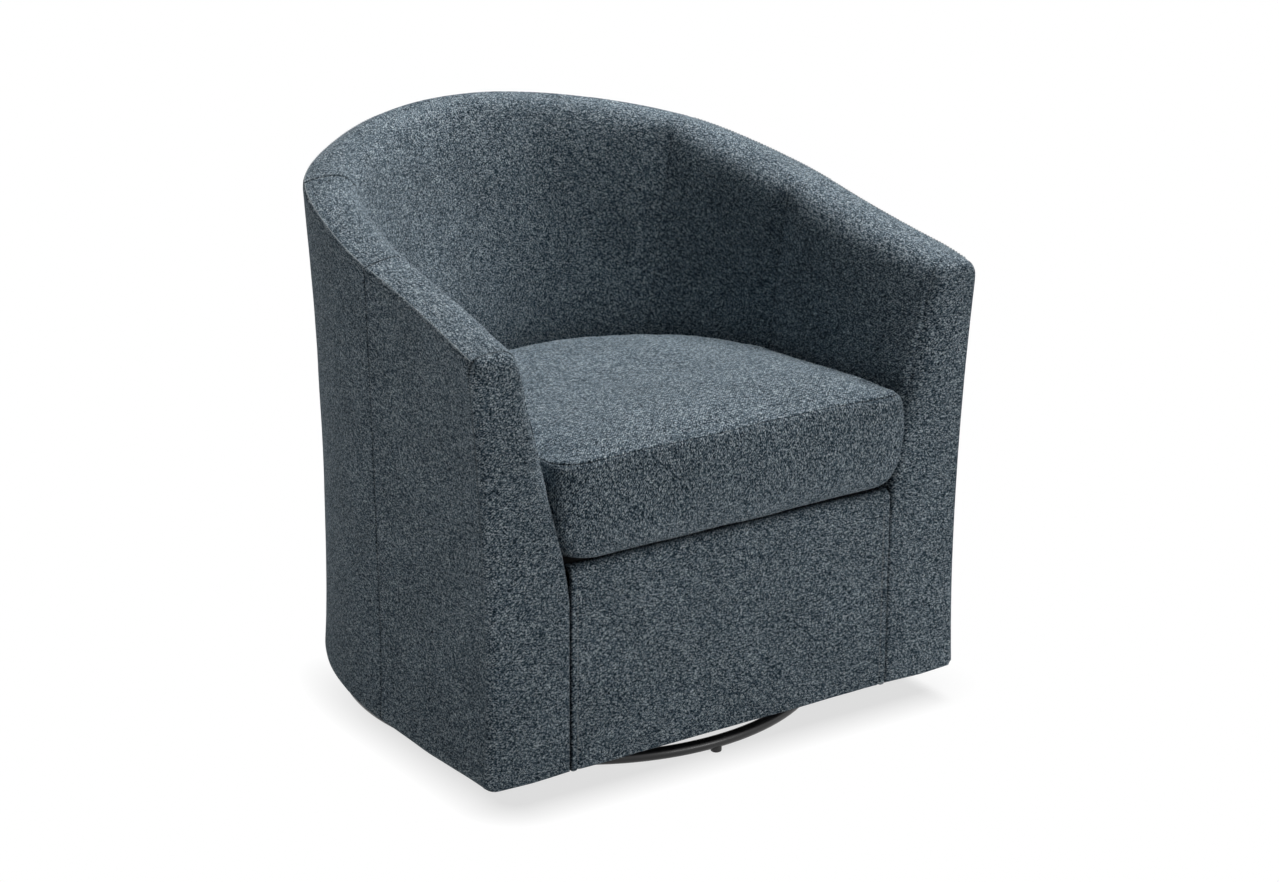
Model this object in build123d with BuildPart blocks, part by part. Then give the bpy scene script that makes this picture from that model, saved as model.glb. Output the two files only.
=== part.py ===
from build123d import *
import os
from math import atan2, cos, exp, hypot, radians, sin, tan

os.makedirs("parts", exist_ok=True)

# Driving dimensions in millimetres. +Z is up and the front of the chair faces -Y.
# The origin is on the floor, under the swivel axis.

# Tub, outside
tub_half_width = 349
tub_front = 344
tub_back = 349
curve_start = -74
tub_bottom = 49
waist_height = 197
arm_height = 586
back_height = 693
rim_sweep = 1.06
front_lean = 22
side_lean = 2
corner_lean = 16
back_lean = 5
foot_flare = 4.5
corner_turn = 37
corner_spread = 14
cover_thickness = 5

# Tub, rim and inside
arm_crown = 5
back_crown = 15
crown_inset = 43
rim_roll = 26
side_foot = 108
back_foot = 205
foot_sweep = 1.3
pad_bulge = 5
pad_thickness = 28
band_thickness = 10
corner_seam_turn = 36

# Front
front_pad = 16
front_roll = 9
arm_corner = 14
front_seam_border = 111
front_cover_rise = 16
front_neck_height = 26

# Seat deck and cushion
deck_height = 294
seat_rake = 4.4
deck_board = 18
deck_side_border = 184
deck_front_border = 46
deck_back_border = 289
deck_opening_corner = 70
webbing_width = 50
webbing_thickness = 1.5
webbing_count = 4
webbing_landing = 22
deck_pad_thickness = 18
seat_gap = 2
cushion_spread = 7
cushion_taper = 9
cushion_overhang = 10
cushion_straight_run = 31
cushion_corner = 32
cushion_height = 125
cushion_crown = 20
cushion_skin = 6
cushion_draw = 28
# Share of the boxing's depth, then how much of the draw its sides and its front take there
boxing_draws = [
    (0, 1, 0.6),
    (0.08, 0.65, 0.15),
    (0.25, 0.36, 0),
    (0.5, 0.12, -0.1),
    (0.8, 0, 0),
    (1, 0.1, 0.15),
]
# Share of the crown's height, then how far in it reaches there as a share of the half width
crown_draws = [(0, 0.017), (0.5, 0.17), (0.85, 0.4), (1, 0.7)]

# Timber frame
board = 25
rail_depth = 22
bottom_board = 18
bottom_border = 82
front_board = 20
swivel_rail_width = 46

# Swivel base
ring_radius = 309
ring_tube = 16
glide_count = 6
glide_diameter = 14
glide_standoff = 5
cross_tube_width = 25
cross_tube_wall = 1.5

# Swivel bearing
plate_thickness = 3
plate_corner = 8
lower_screw_pitch = 124
upper_screw_pitch = 144
screw_edge = 13
race_radius = 52
race_width = 18
race_lip = 1.2
ball_diameter = 9
ball_count = 8
cage_width = 14
cage_thickness = 2
stud_diameter = 16
stud_height = 64
bush_wall = 3
bush_flange = 5
bush_flange_thickness = 2
washer_diameter = 34
washer_thickness = 2.5
nut_width = 24
nut_height = 10
screw_diameter = 6
screw_head_width = 10
screw_head_height = 4
lower_screw_length = 12
upper_screw_length = 15

# Clearances
fit_gap = 0.3
board_gap = 1
pad_gap = 1.5
post_gap = 5
bearing_gap = 0.15
running_gap = 0.05
dust_cover_thickness = 1
dust_cover_hole_gap = 6

# Shapes shared by several pieces

curve_depth = tub_back - curve_start
front_curve = front_lean / (arm_height - waist_height) ** 2
side_curve = side_lean / (arm_height - waist_height) ** 2
corner_curve = corner_lean / (back_height - waist_height) ** 2
back_curve = back_lean / (back_height - waist_height) ** 2
foot_curve = foot_flare / (waist_height - tub_bottom) ** 2
ring_height = glide_standoff + ring_tube / 2
frame_bottom = tub_bottom + dust_cover_thickness + fit_gap
inner_front = -tub_front + front_pad + fit_gap
rake_rise = tan(radians(seat_rake))
deck_front = inner_front + deck_board * rake_rise
front_seam = tub_half_width - front_seam_border
front_cover_height = deck_height + front_cover_rise
seat_half_width = tub_half_width - side_foot - seat_gap
cushion_half_width = seat_half_width + cushion_spread
cushion_back = tub_back - back_foot - seat_gap
cushion_straight = curve_start - cushion_straight_run
plate_size = upper_screw_pitch + 2 * screw_edge
deck_opening_half_width = tub_half_width - deck_side_border
deck_opening_front = inner_front + deck_front_border
deck_opening_back = tub_back - deck_back_border


def rim_height(y):
    """Height of the outside rim seam: level at the arms, rising to the back."""
    share = (y + tub_front) / (tub_back + tub_front)
    return arm_height + (back_height - arm_height) * share**rim_sweep


def deck_level(y):
    """Height of the raked seat deck at y."""
    return deck_height - (y + tub_front) * rake_rise


deck_plane = Plane(
    origin=(0, 0, deck_level(0)),
    x_dir=(1, 0, 0),
    z_dir=(0, sin(radians(seat_rake)), cos(radians(seat_rake))),
)


class Station:
    """Upright plane across the tub wall. Its X points out of the tub and its Y points up."""

    def __init__(self, x, y, out_x, out_y, turn, ahead):
        length = hypot(out_x, out_y)
        out_x = out_x / length
        out_y = out_y / length
        share = sin(radians(turn))
        self.plane = Plane(origin=(x, y, 0), x_dir=(out_x, out_y, 0), z_dir=(out_y, -out_x, 0))
        self.rim = rim_height(y)
        self.rail_low = rim_height(y - board * abs(out_x)) - band_thickness - rail_depth - 2 * fit_gap
        corner = exp(-(((90 - abs(turn - 90) - corner_turn) / corner_spread) ** 2))
        self.curve = (
            side_curve
            + (front_curve - side_curve) * ahead**2
            + (back_curve - side_curve) * share**2
            + corner_curve * corner
        )
        self.crown_rise = arm_crown + (back_crown - arm_crown) * share
        self.foot_depth = side_foot + (back_foot - side_foot) * share**foot_sweep
        inner_y = y - out_y * self.foot_depth
        self.foot_height = deck_level(inner_y) + fit_gap

    def outside(self, z, inset=0):
        """Point on the outside of the wall at height z, moved in by inset. The wall is narrowest at its waist."""
        curve = self.curve if z > waist_height else foot_curve
        return (curve * (z - waist_height) ** 2 - inset, z)

    def seam(self):
        return self.outside(self.rim)

    def crown(self):
        edge, height = self.seam()
        return (edge - crown_inset, height + self.crown_rise)

    def foot(self):
        return (-self.foot_depth, self.foot_height)

    def shoulder(self):
        """End of the inner roll, where it runs on into the inside face."""
        top, height = self.crown()
        edge, low = self.foot()
        lean = 0
        for _ in range(4):
            end = (top - rim_roll * cos(lean), height - rim_roll + rim_roll * sin(lean))
            chord = hypot(end[0] - edge, end[1] - low)
            lean = atan2(end[0] - edge, end[1] - low) + 4 * pad_bulge / chord
        return end

    def inside_middle(self):
        """Middle of the inside face, which bulges towards the seat."""
        end = self.shoulder()
        foot = self.foot()
        chord = hypot(end[0] - foot[0], end[1] - foot[1])
        across = (end[1] - foot[1]) / chord
        along = (end[0] - foot[0]) / chord
        return (
            (end[0] + foot[0]) / 2 - pad_bulge * across,
            (end[1] + foot[1]) / 2 + pad_bulge * along,
        )

    def pad_back_top(self):
        return (self.shoulder()[0] + pad_thickness, self.rim - band_thickness)

    def pad_back_foot(self):
        return (-self.foot_depth + pad_thickness, self.foot_height)


def side_station(y):
    """Station on the straight left side, which leans out more towards the front."""
    ahead = (curve_start - y) / (curve_start + tub_front)
    return Station(-tub_half_width, y, -1, 0, 0, ahead)


def back_station(turn):
    """Station on the curved back: 0 degrees at the left side, 90 at the middle, 180 at the right."""
    across = cos(radians(turn))
    along = sin(radians(turn))
    x = -tub_half_width * across
    y = curve_start + curve_depth * along
    return Station(x, y, -across / tub_half_width, along / curve_depth, turn, 0)


def evenly(first, last, count):
    """Evenly spaced values from first to last."""
    return [first + (last - first) * step / (count - 1) for step in range(count)]


front_station = side_station(-tub_front)
arm_stations = [side_station(y) for y in evenly(inner_front, curve_start, 4)]
wrap_stations = [back_station(turn) for turn in evenly(0, 180, 21)]


def outside_curve(at, inset, low, high):
    """Outside of the wall between two heights, moved in by inset."""
    return Spline([at.outside(z, inset) for z in evenly(low, high, 6)])


def cover_profile(at):
    """Outside cover: from the bottom edge up to the rim seam."""
    outer = outside_curve(at, 0, tub_bottom, at.rim)
    inner = outside_curve(at, cover_thickness, tub_bottom, at.rim)
    Line(outer @ 0, inner @ 0)
    Line(outer @ 1, inner @ 1)


def pad_profile(at):
    """Inside pad: over the rim from the outside seam, round the inner roll and down to the deck."""
    edge, height = at.seam()
    lip = (edge, height + fit_gap)
    tuck = at.rim - band_thickness
    behind = cover_thickness + pad_gap
    TangentArc(at.crown(), lip, tangent=(1, 0))
    TangentArc(at.crown(), at.shoulder(), tangent=(-1, 0))
    ThreePointArc(at.shoulder(), at.inside_middle(), at.foot())
    Polyline(
        at.foot(),
        at.pad_back_foot(),
        at.pad_back_top(),
        at.outside(tuck, behind),
        (edge - behind, height + fit_gap),
        lip,
    )


def rail_profile(at):
    """Rim rail: a flat rail under the rim band, between the outside cover and the pad."""
    top = at.rim - band_thickness - fit_gap
    low = top - rail_depth
    outer = min(at.outside(low)[0], at.outside(top)[0]) - cover_thickness - board_gap
    inner = at.pad_back_top()[0] + pad_gap
    Polyline((outer, low), (outer, top), (inner, top), (inner, low), close=True)


def post_profile(at, low):
    """Shaped post filling the wall from a low height up to the underside of the rim rail."""
    outer = outside_curve(at, cover_thickness + board_gap, low, at.rail_low)
    foot_x, foot_z = at.pad_back_foot()
    head_x, head_z = at.pad_back_top()
    lean = (head_x - foot_x) / (head_z - foot_z)
    Polyline(
        outer @ 1,
        (foot_x + lean * (at.rail_low - foot_z) + post_gap, at.rail_low),
        (foot_x + post_gap, foot_z),
        (foot_x + post_gap, low),
        outer @ 0,
    )


def tub_outline(inset, front):
    """Plan of the tub: straight front and sides, and an elliptical back."""
    half_width = tub_half_width - inset
    Line((half_width, curve_start), (half_width, front))
    Line((half_width, front), (-half_width, front))
    Line((-half_width, front), (-half_width, curve_start))
    EllipticalCenterArc((0, curve_start), half_width, curve_depth - inset, start_angle=0, arc_size=180)


# Swivel base: a steel tube ring on floor glides, with a cross of square tubes

with BuildPart() as base_ring:
    with BuildSketch(Plane.XZ):
        with Locations((ring_radius, ring_height)):
            Circle(ring_tube / 2)
    revolve(axis=Axis.Z)

with BuildPart() as floor_glides:
    with BuildSketch():
        with PolarLocations(ring_radius, glide_count, start_angle=-90):
            Circle(glide_diameter / 2)
    extrude(amount=ring_height)
    add(base_ring.part, mode=Mode.SUBTRACT)
    fillet(floor_glides.edges().group_by(Axis.Z)[0], radius=glide_standoff / 3)


def tube_section(plane):
    """Hollow square tube section across a plane."""
    with BuildSketch(plane) as section:
        tube = Rectangle(cross_tube_width, ring_tube)
        offset(tube, amount=-cross_tube_wall, mode=Mode.SUBTRACT)
    return section.sketch


def screw_circles(pitch, corners, height):
    """Screw shank sections at some corners of a square pitch."""
    with BuildSketch(Plane.XY.offset(height)) as section:
        with Locations([(x * pitch / 2, y * pitch / 2) for x, y in corners]):
            Circle(screw_diameter / 2)
    return section.sketch


def screw_heads(pitch, height):
    """Hexagon screw heads at the corners of a square pitch."""
    with BuildSketch(Plane.XY.offset(height)) as section:
        with GridLocations(pitch, pitch, 2, 2):
            RegularPolygon(screw_head_width / 2, 6, major_radius=False)
    return section.sketch


def disc(diameter, height):
    """Round section about the swivel axis."""
    with BuildSketch(Plane.XY.offset(height)) as section:
        Circle(diameter / 2)
    return section.sketch


def annulus(middle_radius, width, height):
    """Flat ring section about the swivel axis."""
    with BuildSketch(Plane.XY.offset(height)) as section:
        Circle(middle_radius + width / 2)
        Circle(middle_radius - width / 2, mode=Mode.SUBTRACT)
    return section.sketch


long_corners = [(1, 1), (-1, -1)]
short_corners = [(-1, 1), (1, -1)]
all_corners = long_corners + short_corners
tube_top = ring_height + ring_tube / 2
tube_end = ring_radius - ring_tube / 4
long_plane = Plane(origin=(0, 0, ring_height), x_dir=(1, -1, 0), z_dir=(1, 1, 0))
short_plane = Plane(origin=(0, 0, ring_height), x_dir=(1, 1, 0), z_dir=(-1, 1, 0))
long_tube_middle = Plane(origin=(0, 0, 0), x_dir=(0, 0, 1), z_dir=(-1, 1, 0))

with BuildPart() as base_long_tube:
    extrude(tube_section(long_plane), amount=tube_end, both=True)
    add(base_ring.part, mode=Mode.SUBTRACT)
    long_holes = screw_circles(lower_screw_pitch, long_corners, ring_height)
    extrude(long_holes, amount=ring_tube, mode=Mode.SUBTRACT)

with BuildPart() as base_short_tubes:
    extrude(tube_section(short_plane.offset(cross_tube_width / 2)), amount=tube_end - cross_tube_width / 2)
    mirror(about=long_tube_middle)
    add(base_ring.part, mode=Mode.SUBTRACT)
    short_holes = screw_circles(lower_screw_pitch, short_corners, ring_height)
    extrude(short_holes, amount=ring_tube, mode=Mode.SUBTRACT)

# Swivel bearing: two square plates with raised races, caged balls between them, and a stud that holds
# the upper plate down

lower_plate_top = tube_top + plate_thickness
upper_plate_low = frame_bottom - plate_thickness
bearing_middle = (lower_plate_top + upper_plate_low) / 2
lower_race = bearing_middle - ball_diameter / 2 - bearing_gap
upper_race = bearing_middle + ball_diameter / 2 + bearing_gap
bush_bore = stud_diameter + 2 * running_gap
bush_outer = bush_bore + 2 * bush_wall
flange_top = frame_bottom + bush_flange_thickness
washer_low = flange_top + fit_gap
nut_low = washer_low + washer_thickness
plate_groove = ball_diameter + 2 * bearing_gap

with BuildPart() as lower_bearing_plate:
    with BuildSketch(Plane.XY.offset(tube_top)):
        RectangleRounded(plate_size, plate_size, plate_corner)
    extrude(amount=plate_thickness)
    extrude(annulus(race_radius, race_width, tube_top), amount=lower_race + race_lip - tube_top)
    extrude(annulus(race_radius, plate_groove, lower_race), amount=race_lip, mode=Mode.SUBTRACT)
    lower_holes = screw_circles(lower_screw_pitch, all_corners, tube_top)
    extrude(lower_holes, amount=plate_thickness, mode=Mode.SUBTRACT)

with BuildPart() as upper_bearing_plate:
    with BuildSketch(Plane.XY.offset(upper_plate_low)):
        RectangleRounded(plate_size, plate_size, plate_corner)
    extrude(amount=plate_thickness)
    extrude(annulus(race_radius, race_width, frame_bottom), amount=upper_race - race_lip - frame_bottom)
    extrude(annulus(race_radius, plate_groove, upper_race), amount=-race_lip, mode=Mode.SUBTRACT)
    upper_holes = screw_circles(upper_screw_pitch, all_corners, upper_plate_low)
    extrude(upper_holes, amount=plate_thickness, mode=Mode.SUBTRACT)
    extrude(disc(bush_outer, upper_plate_low), amount=plate_thickness, mode=Mode.SUBTRACT)

with BuildPart() as bearing_balls:
    with PolarLocations(race_radius, ball_count):
        with Locations((0, 0, bearing_middle)):
            Sphere(ball_diameter / 2)

with BuildPart() as ball_cage:
    with BuildSketch(Plane.XY.offset(bearing_middle - cage_thickness / 2)):
        Circle(race_radius + cage_width / 2)
        Circle(race_radius - cage_width / 2, mode=Mode.SUBTRACT)
        with PolarLocations(race_radius, ball_count):
            Circle(ball_diameter / 2 + bearing_gap, mode=Mode.SUBTRACT)
    extrude(amount=cage_thickness)

with BuildPart() as pivot_stud:
    extrude(disc(stud_diameter, lower_plate_top), amount=stud_height - lower_plate_top)
    chamfer(pivot_stud.edges().group_by(Axis.Z)[-1], length=stud_diameter / 10)

with BuildPart() as pivot_bush:
    extrude(disc(bush_outer, upper_plate_low), amount=plate_thickness)
    extrude(disc(bush_outer + 2 * bush_flange, frame_bottom), amount=bush_flange_thickness)
    extrude(disc(bush_bore, upper_plate_low), amount=flange_top - upper_plate_low, mode=Mode.SUBTRACT)

with BuildPart() as pivot_washer:
    extrude(disc(washer_diameter, washer_low), amount=washer_thickness)
    extrude(disc(bush_bore, washer_low), amount=washer_thickness, mode=Mode.SUBTRACT)

with BuildPart() as pivot_nut:
    with BuildSketch(Plane.XY.offset(nut_low)):
        RegularPolygon(nut_width / 2, 6, major_radius=False)
    extrude(amount=nut_height)
    extrude(disc(bush_bore, nut_low), amount=nut_height, mode=Mode.SUBTRACT)

with BuildPart() as lower_plate_screws:
    extrude(screw_heads(lower_screw_pitch, lower_plate_top), amount=screw_head_height)
    extrude(screw_circles(lower_screw_pitch, all_corners, lower_plate_top), amount=-lower_screw_length)

with BuildPart() as upper_plate_screws:
    extrude(screw_heads(upper_screw_pitch, upper_plate_low), amount=-screw_head_height)
    extrude(upper_holes, amount=upper_screw_length)

# Timber frame: a bottom frame, shaped posts up to the rim rails, and a raked seat deck

frame_inset = cover_thickness + board_gap
frame_top = frame_bottom + bottom_board
bottom_flare = foot_curve * (waist_height - frame_top) ** 2

with BuildPart() as bottom_frame:
    with BuildSketch(Plane.XY.offset(frame_bottom)):
        with BuildLine():
            tub_outline(frame_inset - bottom_flare, inner_front)
        make_face()
        with BuildLine():
            tub_outline(bottom_border, inner_front + bottom_border)
        make_face(mode=Mode.SUBTRACT)
    extrude(amount=bottom_board)

with BuildPart() as swivel_rails:
    with BuildSketch(Plane.XY.offset(frame_bottom)):
        with BuildLine():
            tub_outline(bottom_border, inner_front + bottom_border)
        make_face()
        with GridLocations(0, upper_screw_pitch, 1, 2):
            Rectangle(2 * tub_half_width, swivel_rail_width, mode=Mode.INTERSECT)
    extrude(amount=bottom_board)
    extrude(upper_holes, amount=upper_screw_length, mode=Mode.SUBTRACT)

with BuildPart() as rim_rail_left:
    for at in arm_stations:
        with BuildSketch(at.plane):
            with BuildLine():
                rail_profile(at)
            make_face()
    loft()

with BuildPart() as rim_rail_back:
    for at in wrap_stations:
        with BuildSketch(at.plane):
            with BuildLine():
                rail_profile(at)
            make_face()
    loft()

arm_post_station = side_station(inner_front + board)

with BuildPart() as arm_post_left:
    with BuildSketch(arm_post_station.plane):
        with BuildLine():
            post_profile(arm_post_station, frame_top)
        make_face()
    extrude(amount=-board)

side_post_station = side_station(curve_start - board)

with BuildPart() as side_post_left:
    with BuildSketch(side_post_station.plane):
        with BuildLine():
            post_profile(side_post_station, frame_top)
        make_face()
    extrude(amount=board / 2, both=True)

corner_post_station = back_station(corner_turn)

with BuildPart() as corner_post_left:
    with BuildSketch(corner_post_station.plane):
        with BuildLine():
            post_profile(corner_post_station, frame_top)
        make_face()
    extrude(amount=board / 2, both=True)

with BuildPart() as back_post:
    with BuildSketch(back_station(90).plane):
        with BuildLine():
            post_profile(back_station(90), frame_top)
        make_face()
    extrude(amount=board / 2, both=True)


def mirrored(left):
    """The same piece on the right side of the chair."""
    add(left.part)
    mirror(about=Plane.YZ, mode=Mode.REPLACE)


with BuildPart() as rim_rail_right:
    mirrored(rim_rail_left)

with BuildPart() as arm_post_right:
    mirrored(arm_post_left)

with BuildPart() as side_post_right:
    mirrored(side_post_left)

with BuildPart() as corner_post_right:
    mirrored(corner_post_left)

posts = [
    arm_post_left,
    arm_post_right,
    side_post_left,
    side_post_right,
    corner_post_left,
    corner_post_right,
    back_post,
]
deck_opening_length = deck_opening_back - deck_opening_front
deck_opening_middle = (deck_opening_back + deck_opening_front) / 2

with BuildPart() as deck_frame:
    with BuildSketch(deck_plane.offset(-deck_board)):
        with BuildLine():
            tub_outline(frame_inset, deck_front)
        make_face()
        with Locations((0, deck_opening_middle)):
            RectangleRounded(
                2 * deck_opening_half_width, deck_opening_length, deck_opening_corner, mode=Mode.SUBTRACT
            )
    extrude(amount=deck_board)
    for post in posts:
        add(post.part, mode=Mode.SUBTRACT)

with BuildPart() as front_rail:
    with BuildSketch(Plane.XY.offset(frame_top)):
        with Locations((0, inner_front + front_board / 2)):
            Rectangle(2 * (tub_half_width - side_foot + pad_thickness), front_board)
    extrude(amount=deck_level(inner_front + front_board) - deck_board / 2 - frame_top)
    add(deck_frame.part, mode=Mode.SUBTRACT)
    add(arm_post_left.part, mode=Mode.SUBTRACT)
    add(arm_post_right.part, mode=Mode.SUBTRACT)

# Seat suspension: webbing strips on the deck frame and a deck pad over them

webbing_spread = 2 * deck_opening_half_width / webbing_count
webbing_rise = deck_opening_length / webbing_count

with BuildPart() as webbing_lengthwise:
    with BuildSketch(deck_plane):
        with Locations((0, deck_opening_middle)):
            with GridLocations(webbing_spread, 0, webbing_count, 1):
                Rectangle(webbing_width, deck_opening_length + 2 * webbing_landing)
    extrude(amount=webbing_thickness)

with BuildPart() as webbing_crosswise:
    with BuildSketch(deck_plane.offset(webbing_thickness)):
        with Locations((0, deck_opening_middle)):
            with GridLocations(0, webbing_rise, 1, webbing_count):
                Rectangle(2 * (deck_opening_half_width + webbing_landing), webbing_width)
    extrude(amount=webbing_thickness)


def seat_outline(side_inset, front, back_inset, taper):
    """Plan of the seat on the deck: a round back and sides that spread by the taper to a straight front."""
    half_width = cushion_half_width - side_inset
    wide = half_width + taper
    turn_end = front + cushion_corner
    Line((-wide + cushion_corner, front), (wide - cushion_corner, front))
    RadiusArc((wide - cushion_corner, front), (wide, turn_end), -cushion_corner)
    Line((wide, turn_end), (half_width, cushion_straight))
    ThreePointArc(
        (half_width, cushion_straight), (0, cushion_back - back_inset), (-half_width, cushion_straight)
    )
    Line((-half_width, cushion_straight), (-wide, turn_end))
    RadiusArc((-wide, turn_end), (-wide + cushion_corner, front), -cushion_corner)


pad_low = 2 * webbing_thickness
pad_top = pad_low + deck_pad_thickness

with BuildPart() as deck_pad:
    with BuildSketch(deck_plane.offset(pad_low)):
        with BuildLine():
            seat_outline(cushion_spread, deck_front, seat_gap, 0)
        make_face()
    extrude(amount=deck_pad_thickness)

# Outside covers, from the bottom edge up to the rim seam

with BuildPart() as outside_arm_left:
    for at in arm_stations:
        with BuildSketch(at.plane):
            with BuildLine():
                cover_profile(at)
            make_face()
    loft()

with BuildPart() as outside_arm_right:
    mirrored(outside_arm_left)

with BuildPart() as outside_back:
    for at in wrap_stations:
        with BuildSketch(at.plane):
            with BuildLine():
                cover_profile(at)
            make_face()
    loft()

# Inside pads, from the rim seam over the rim and down to the deck

with BuildPart() as inside_arm_left:
    for at in arm_stations:
        with BuildSketch(at.plane):
            with BuildLine():
                pad_profile(at)
            make_face()
    loft()

with BuildPart() as inside_arm_right:
    mirrored(inside_arm_left)

with BuildPart() as inside_wrap:
    for at in wrap_stations:
        with BuildSketch(at.plane):
            with BuildLine():
                pad_profile(at)
            make_face()
    loft()

left_corner_seam = back_station(corner_seam_turn).plane
right_corner_seam = back_station(180 - corner_seam_turn).plane

with BuildPart() as inside_corner_left:
    add(inside_wrap.part)
    split(bisect_by=left_corner_seam, keep=Keep.BOTTOM)

with BuildPart() as inside_corner_right:
    add(inside_wrap.part)
    split(bisect_by=right_corner_seam, keep=Keep.TOP)

with BuildPart() as inside_back:
    add(inside_wrap.part)
    split(bisect_by=left_corner_seam, keep=Keep.TOP)
    split(bisect_by=right_corner_seam, keep=Keep.BOTTOM)

# Front covers: one on each arm, shaped to the arm's section, and one on the front rail between them

front_seam_inset = front_seam - tub_half_width

with BuildPart() as arm_front_left:
    with BuildSketch(front_station.plane):
        with BuildLine():
            wall = outside_curve(front_station, 0, tub_bottom, front_station.rim)
            TangentArc(front_station.crown(), wall @ 1, tangent=(1, 0))
            TangentArc(front_station.crown(), front_station.shoulder(), tangent=(-1, 0))
            ThreePointArc(front_station.shoulder(), front_station.inside_middle(), front_station.foot())
            Polyline(
                front_station.foot(),
                (front_seam_inset, deck_height - front_neck_height),
                (front_seam_inset, tub_bottom),
                wall @ 0,
            )
        make_face()
    extrude(amount=front_pad)
    fillet(arm_front_left.edges().filter_by(Axis.Y).sort_by(Axis.X)[0], radius=arm_corner)
    fillet(arm_front_left.faces().sort_by(Axis.Y)[0].edges(), radius=front_roll)

with BuildPart() as arm_front_right:
    mirrored(arm_front_left)

with BuildPart() as front_cover:
    with BuildSketch(Plane.XY.offset(tub_bottom)):
        with Locations((0, -tub_front + front_pad / 2)):
            Rectangle(2 * (front_seam - fit_gap), front_pad)
    extrude(amount=front_cover_height - tub_bottom)
    top_edges = front_cover.edges().filter_by(Axis.X).group_by(Axis.Z)[-1]
    fillet(top_edges.sort_by(Axis.Y)[0], radius=front_roll)

dust_cover_hole = plate_size + 2 * dust_cover_hole_gap

with BuildPart() as dust_cover:
    with BuildSketch(Plane.XY.offset(tub_bottom)):
        with BuildLine():
            tub_outline(cover_thickness + fit_gap - bottom_flare, inner_front)
        make_face()
        Rectangle(dust_cover_hole, dust_cover_hole, mode=Mode.SUBTRACT)
    extrude(amount=dust_cover_thickness)

# Loose seat cushion: a boxed cover with drawn-in sides and a crowned top, round a foam core

cushion_low = pad_top + fit_gap


def cushion_section(level, side_inset, front_inset):
    """Slice of the cushion along the deck, drawn in at its sides and back, with its front kept upright."""
    front = front_inset - tub_front - cushion_overhang - level * rake_rise
    with BuildSketch(deck_plane.offset(level)) as section:
        with BuildLine():
            seat_outline(side_inset, front, front_inset, cushion_taper)
        make_face()
    return section.sketch


def boxing_sections(skin):
    """Slices of the boxing, from the tucked-in bottom to the top seam."""
    low = cushion_low + skin
    depth = cushion_height - 2 * skin
    return [
        cushion_section(low + depth * share, side * cushion_draw + skin, front * cushion_draw + skin)
        for share, side, front in boxing_draws
    ]


def crown_sections(skin):
    """Slices of the crowned top, from the top seam up."""
    seam = cushion_low + cushion_height - skin
    insets = [(share, draw * cushion_half_width + skin) for share, draw in crown_draws]
    return [cushion_section(seam + cushion_crown * share, inset, inset) for share, inset in insets]


with BuildPart() as cushion_core:
    loft(boxing_sections(cushion_skin + fit_gap))
    loft(crown_sections(cushion_skin + fit_gap))

with BuildPart() as cushion_hollow:
    loft(boxing_sections(cushion_skin))
    loft(crown_sections(cushion_skin))

with BuildPart() as cushion_cover:
    loft(boxing_sections(0))
    loft(crown_sections(0))
    add(cushion_hollow.part, mode=Mode.SUBTRACT)

pieces = {
    "base_ring": base_ring,
    "base_long_tube": base_long_tube,
    "base_short_tubes": base_short_tubes,
    "floor_glides": floor_glides,
    "lower_bearing_plate": lower_bearing_plate,
    "lower_plate_screws": lower_plate_screws,
    "pivot_stud": pivot_stud,
    "pivot_washer": pivot_washer,
    "pivot_nut": pivot_nut,
    "ball_cage": ball_cage,
    "bearing_balls": bearing_balls,
    "upper_bearing_plate": upper_bearing_plate,
    "upper_plate_screws": upper_plate_screws,
    "pivot_bush": pivot_bush,
    "bottom_frame": bottom_frame,
    "swivel_rails": swivel_rails,
    "arm_post_left": arm_post_left,
    "arm_post_right": arm_post_right,
    "side_post_left": side_post_left,
    "side_post_right": side_post_right,
    "corner_post_left": corner_post_left,
    "corner_post_right": corner_post_right,
    "back_post": back_post,
    "rim_rail_left": rim_rail_left,
    "rim_rail_right": rim_rail_right,
    "rim_rail_back": rim_rail_back,
    "deck_frame": deck_frame,
    "front_rail": front_rail,
    "webbing_lengthwise": webbing_lengthwise,
    "webbing_crosswise": webbing_crosswise,
    "deck_pad": deck_pad,
    "outside_arm_left": outside_arm_left,
    "outside_arm_right": outside_arm_right,
    "outside_back": outside_back,
    "inside_arm_left": inside_arm_left,
    "inside_arm_right": inside_arm_right,
    "inside_corner_left": inside_corner_left,
    "inside_corner_right": inside_corner_right,
    "inside_back": inside_back,
    "arm_front_left": arm_front_left,
    "arm_front_right": arm_front_right,
    "front_cover": front_cover,
    "dust_cover": dust_cover,
    "cushion_cover": cushion_cover,
    "cushion_core": cushion_core,
}

for name, piece in pieces.items():
    piece.part.label = name
    export_step(piece.part, f"parts/{name}.step")
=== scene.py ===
import math

import bpy
import numpy as np
from mathutils import Matrix, Vector, noise

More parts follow.
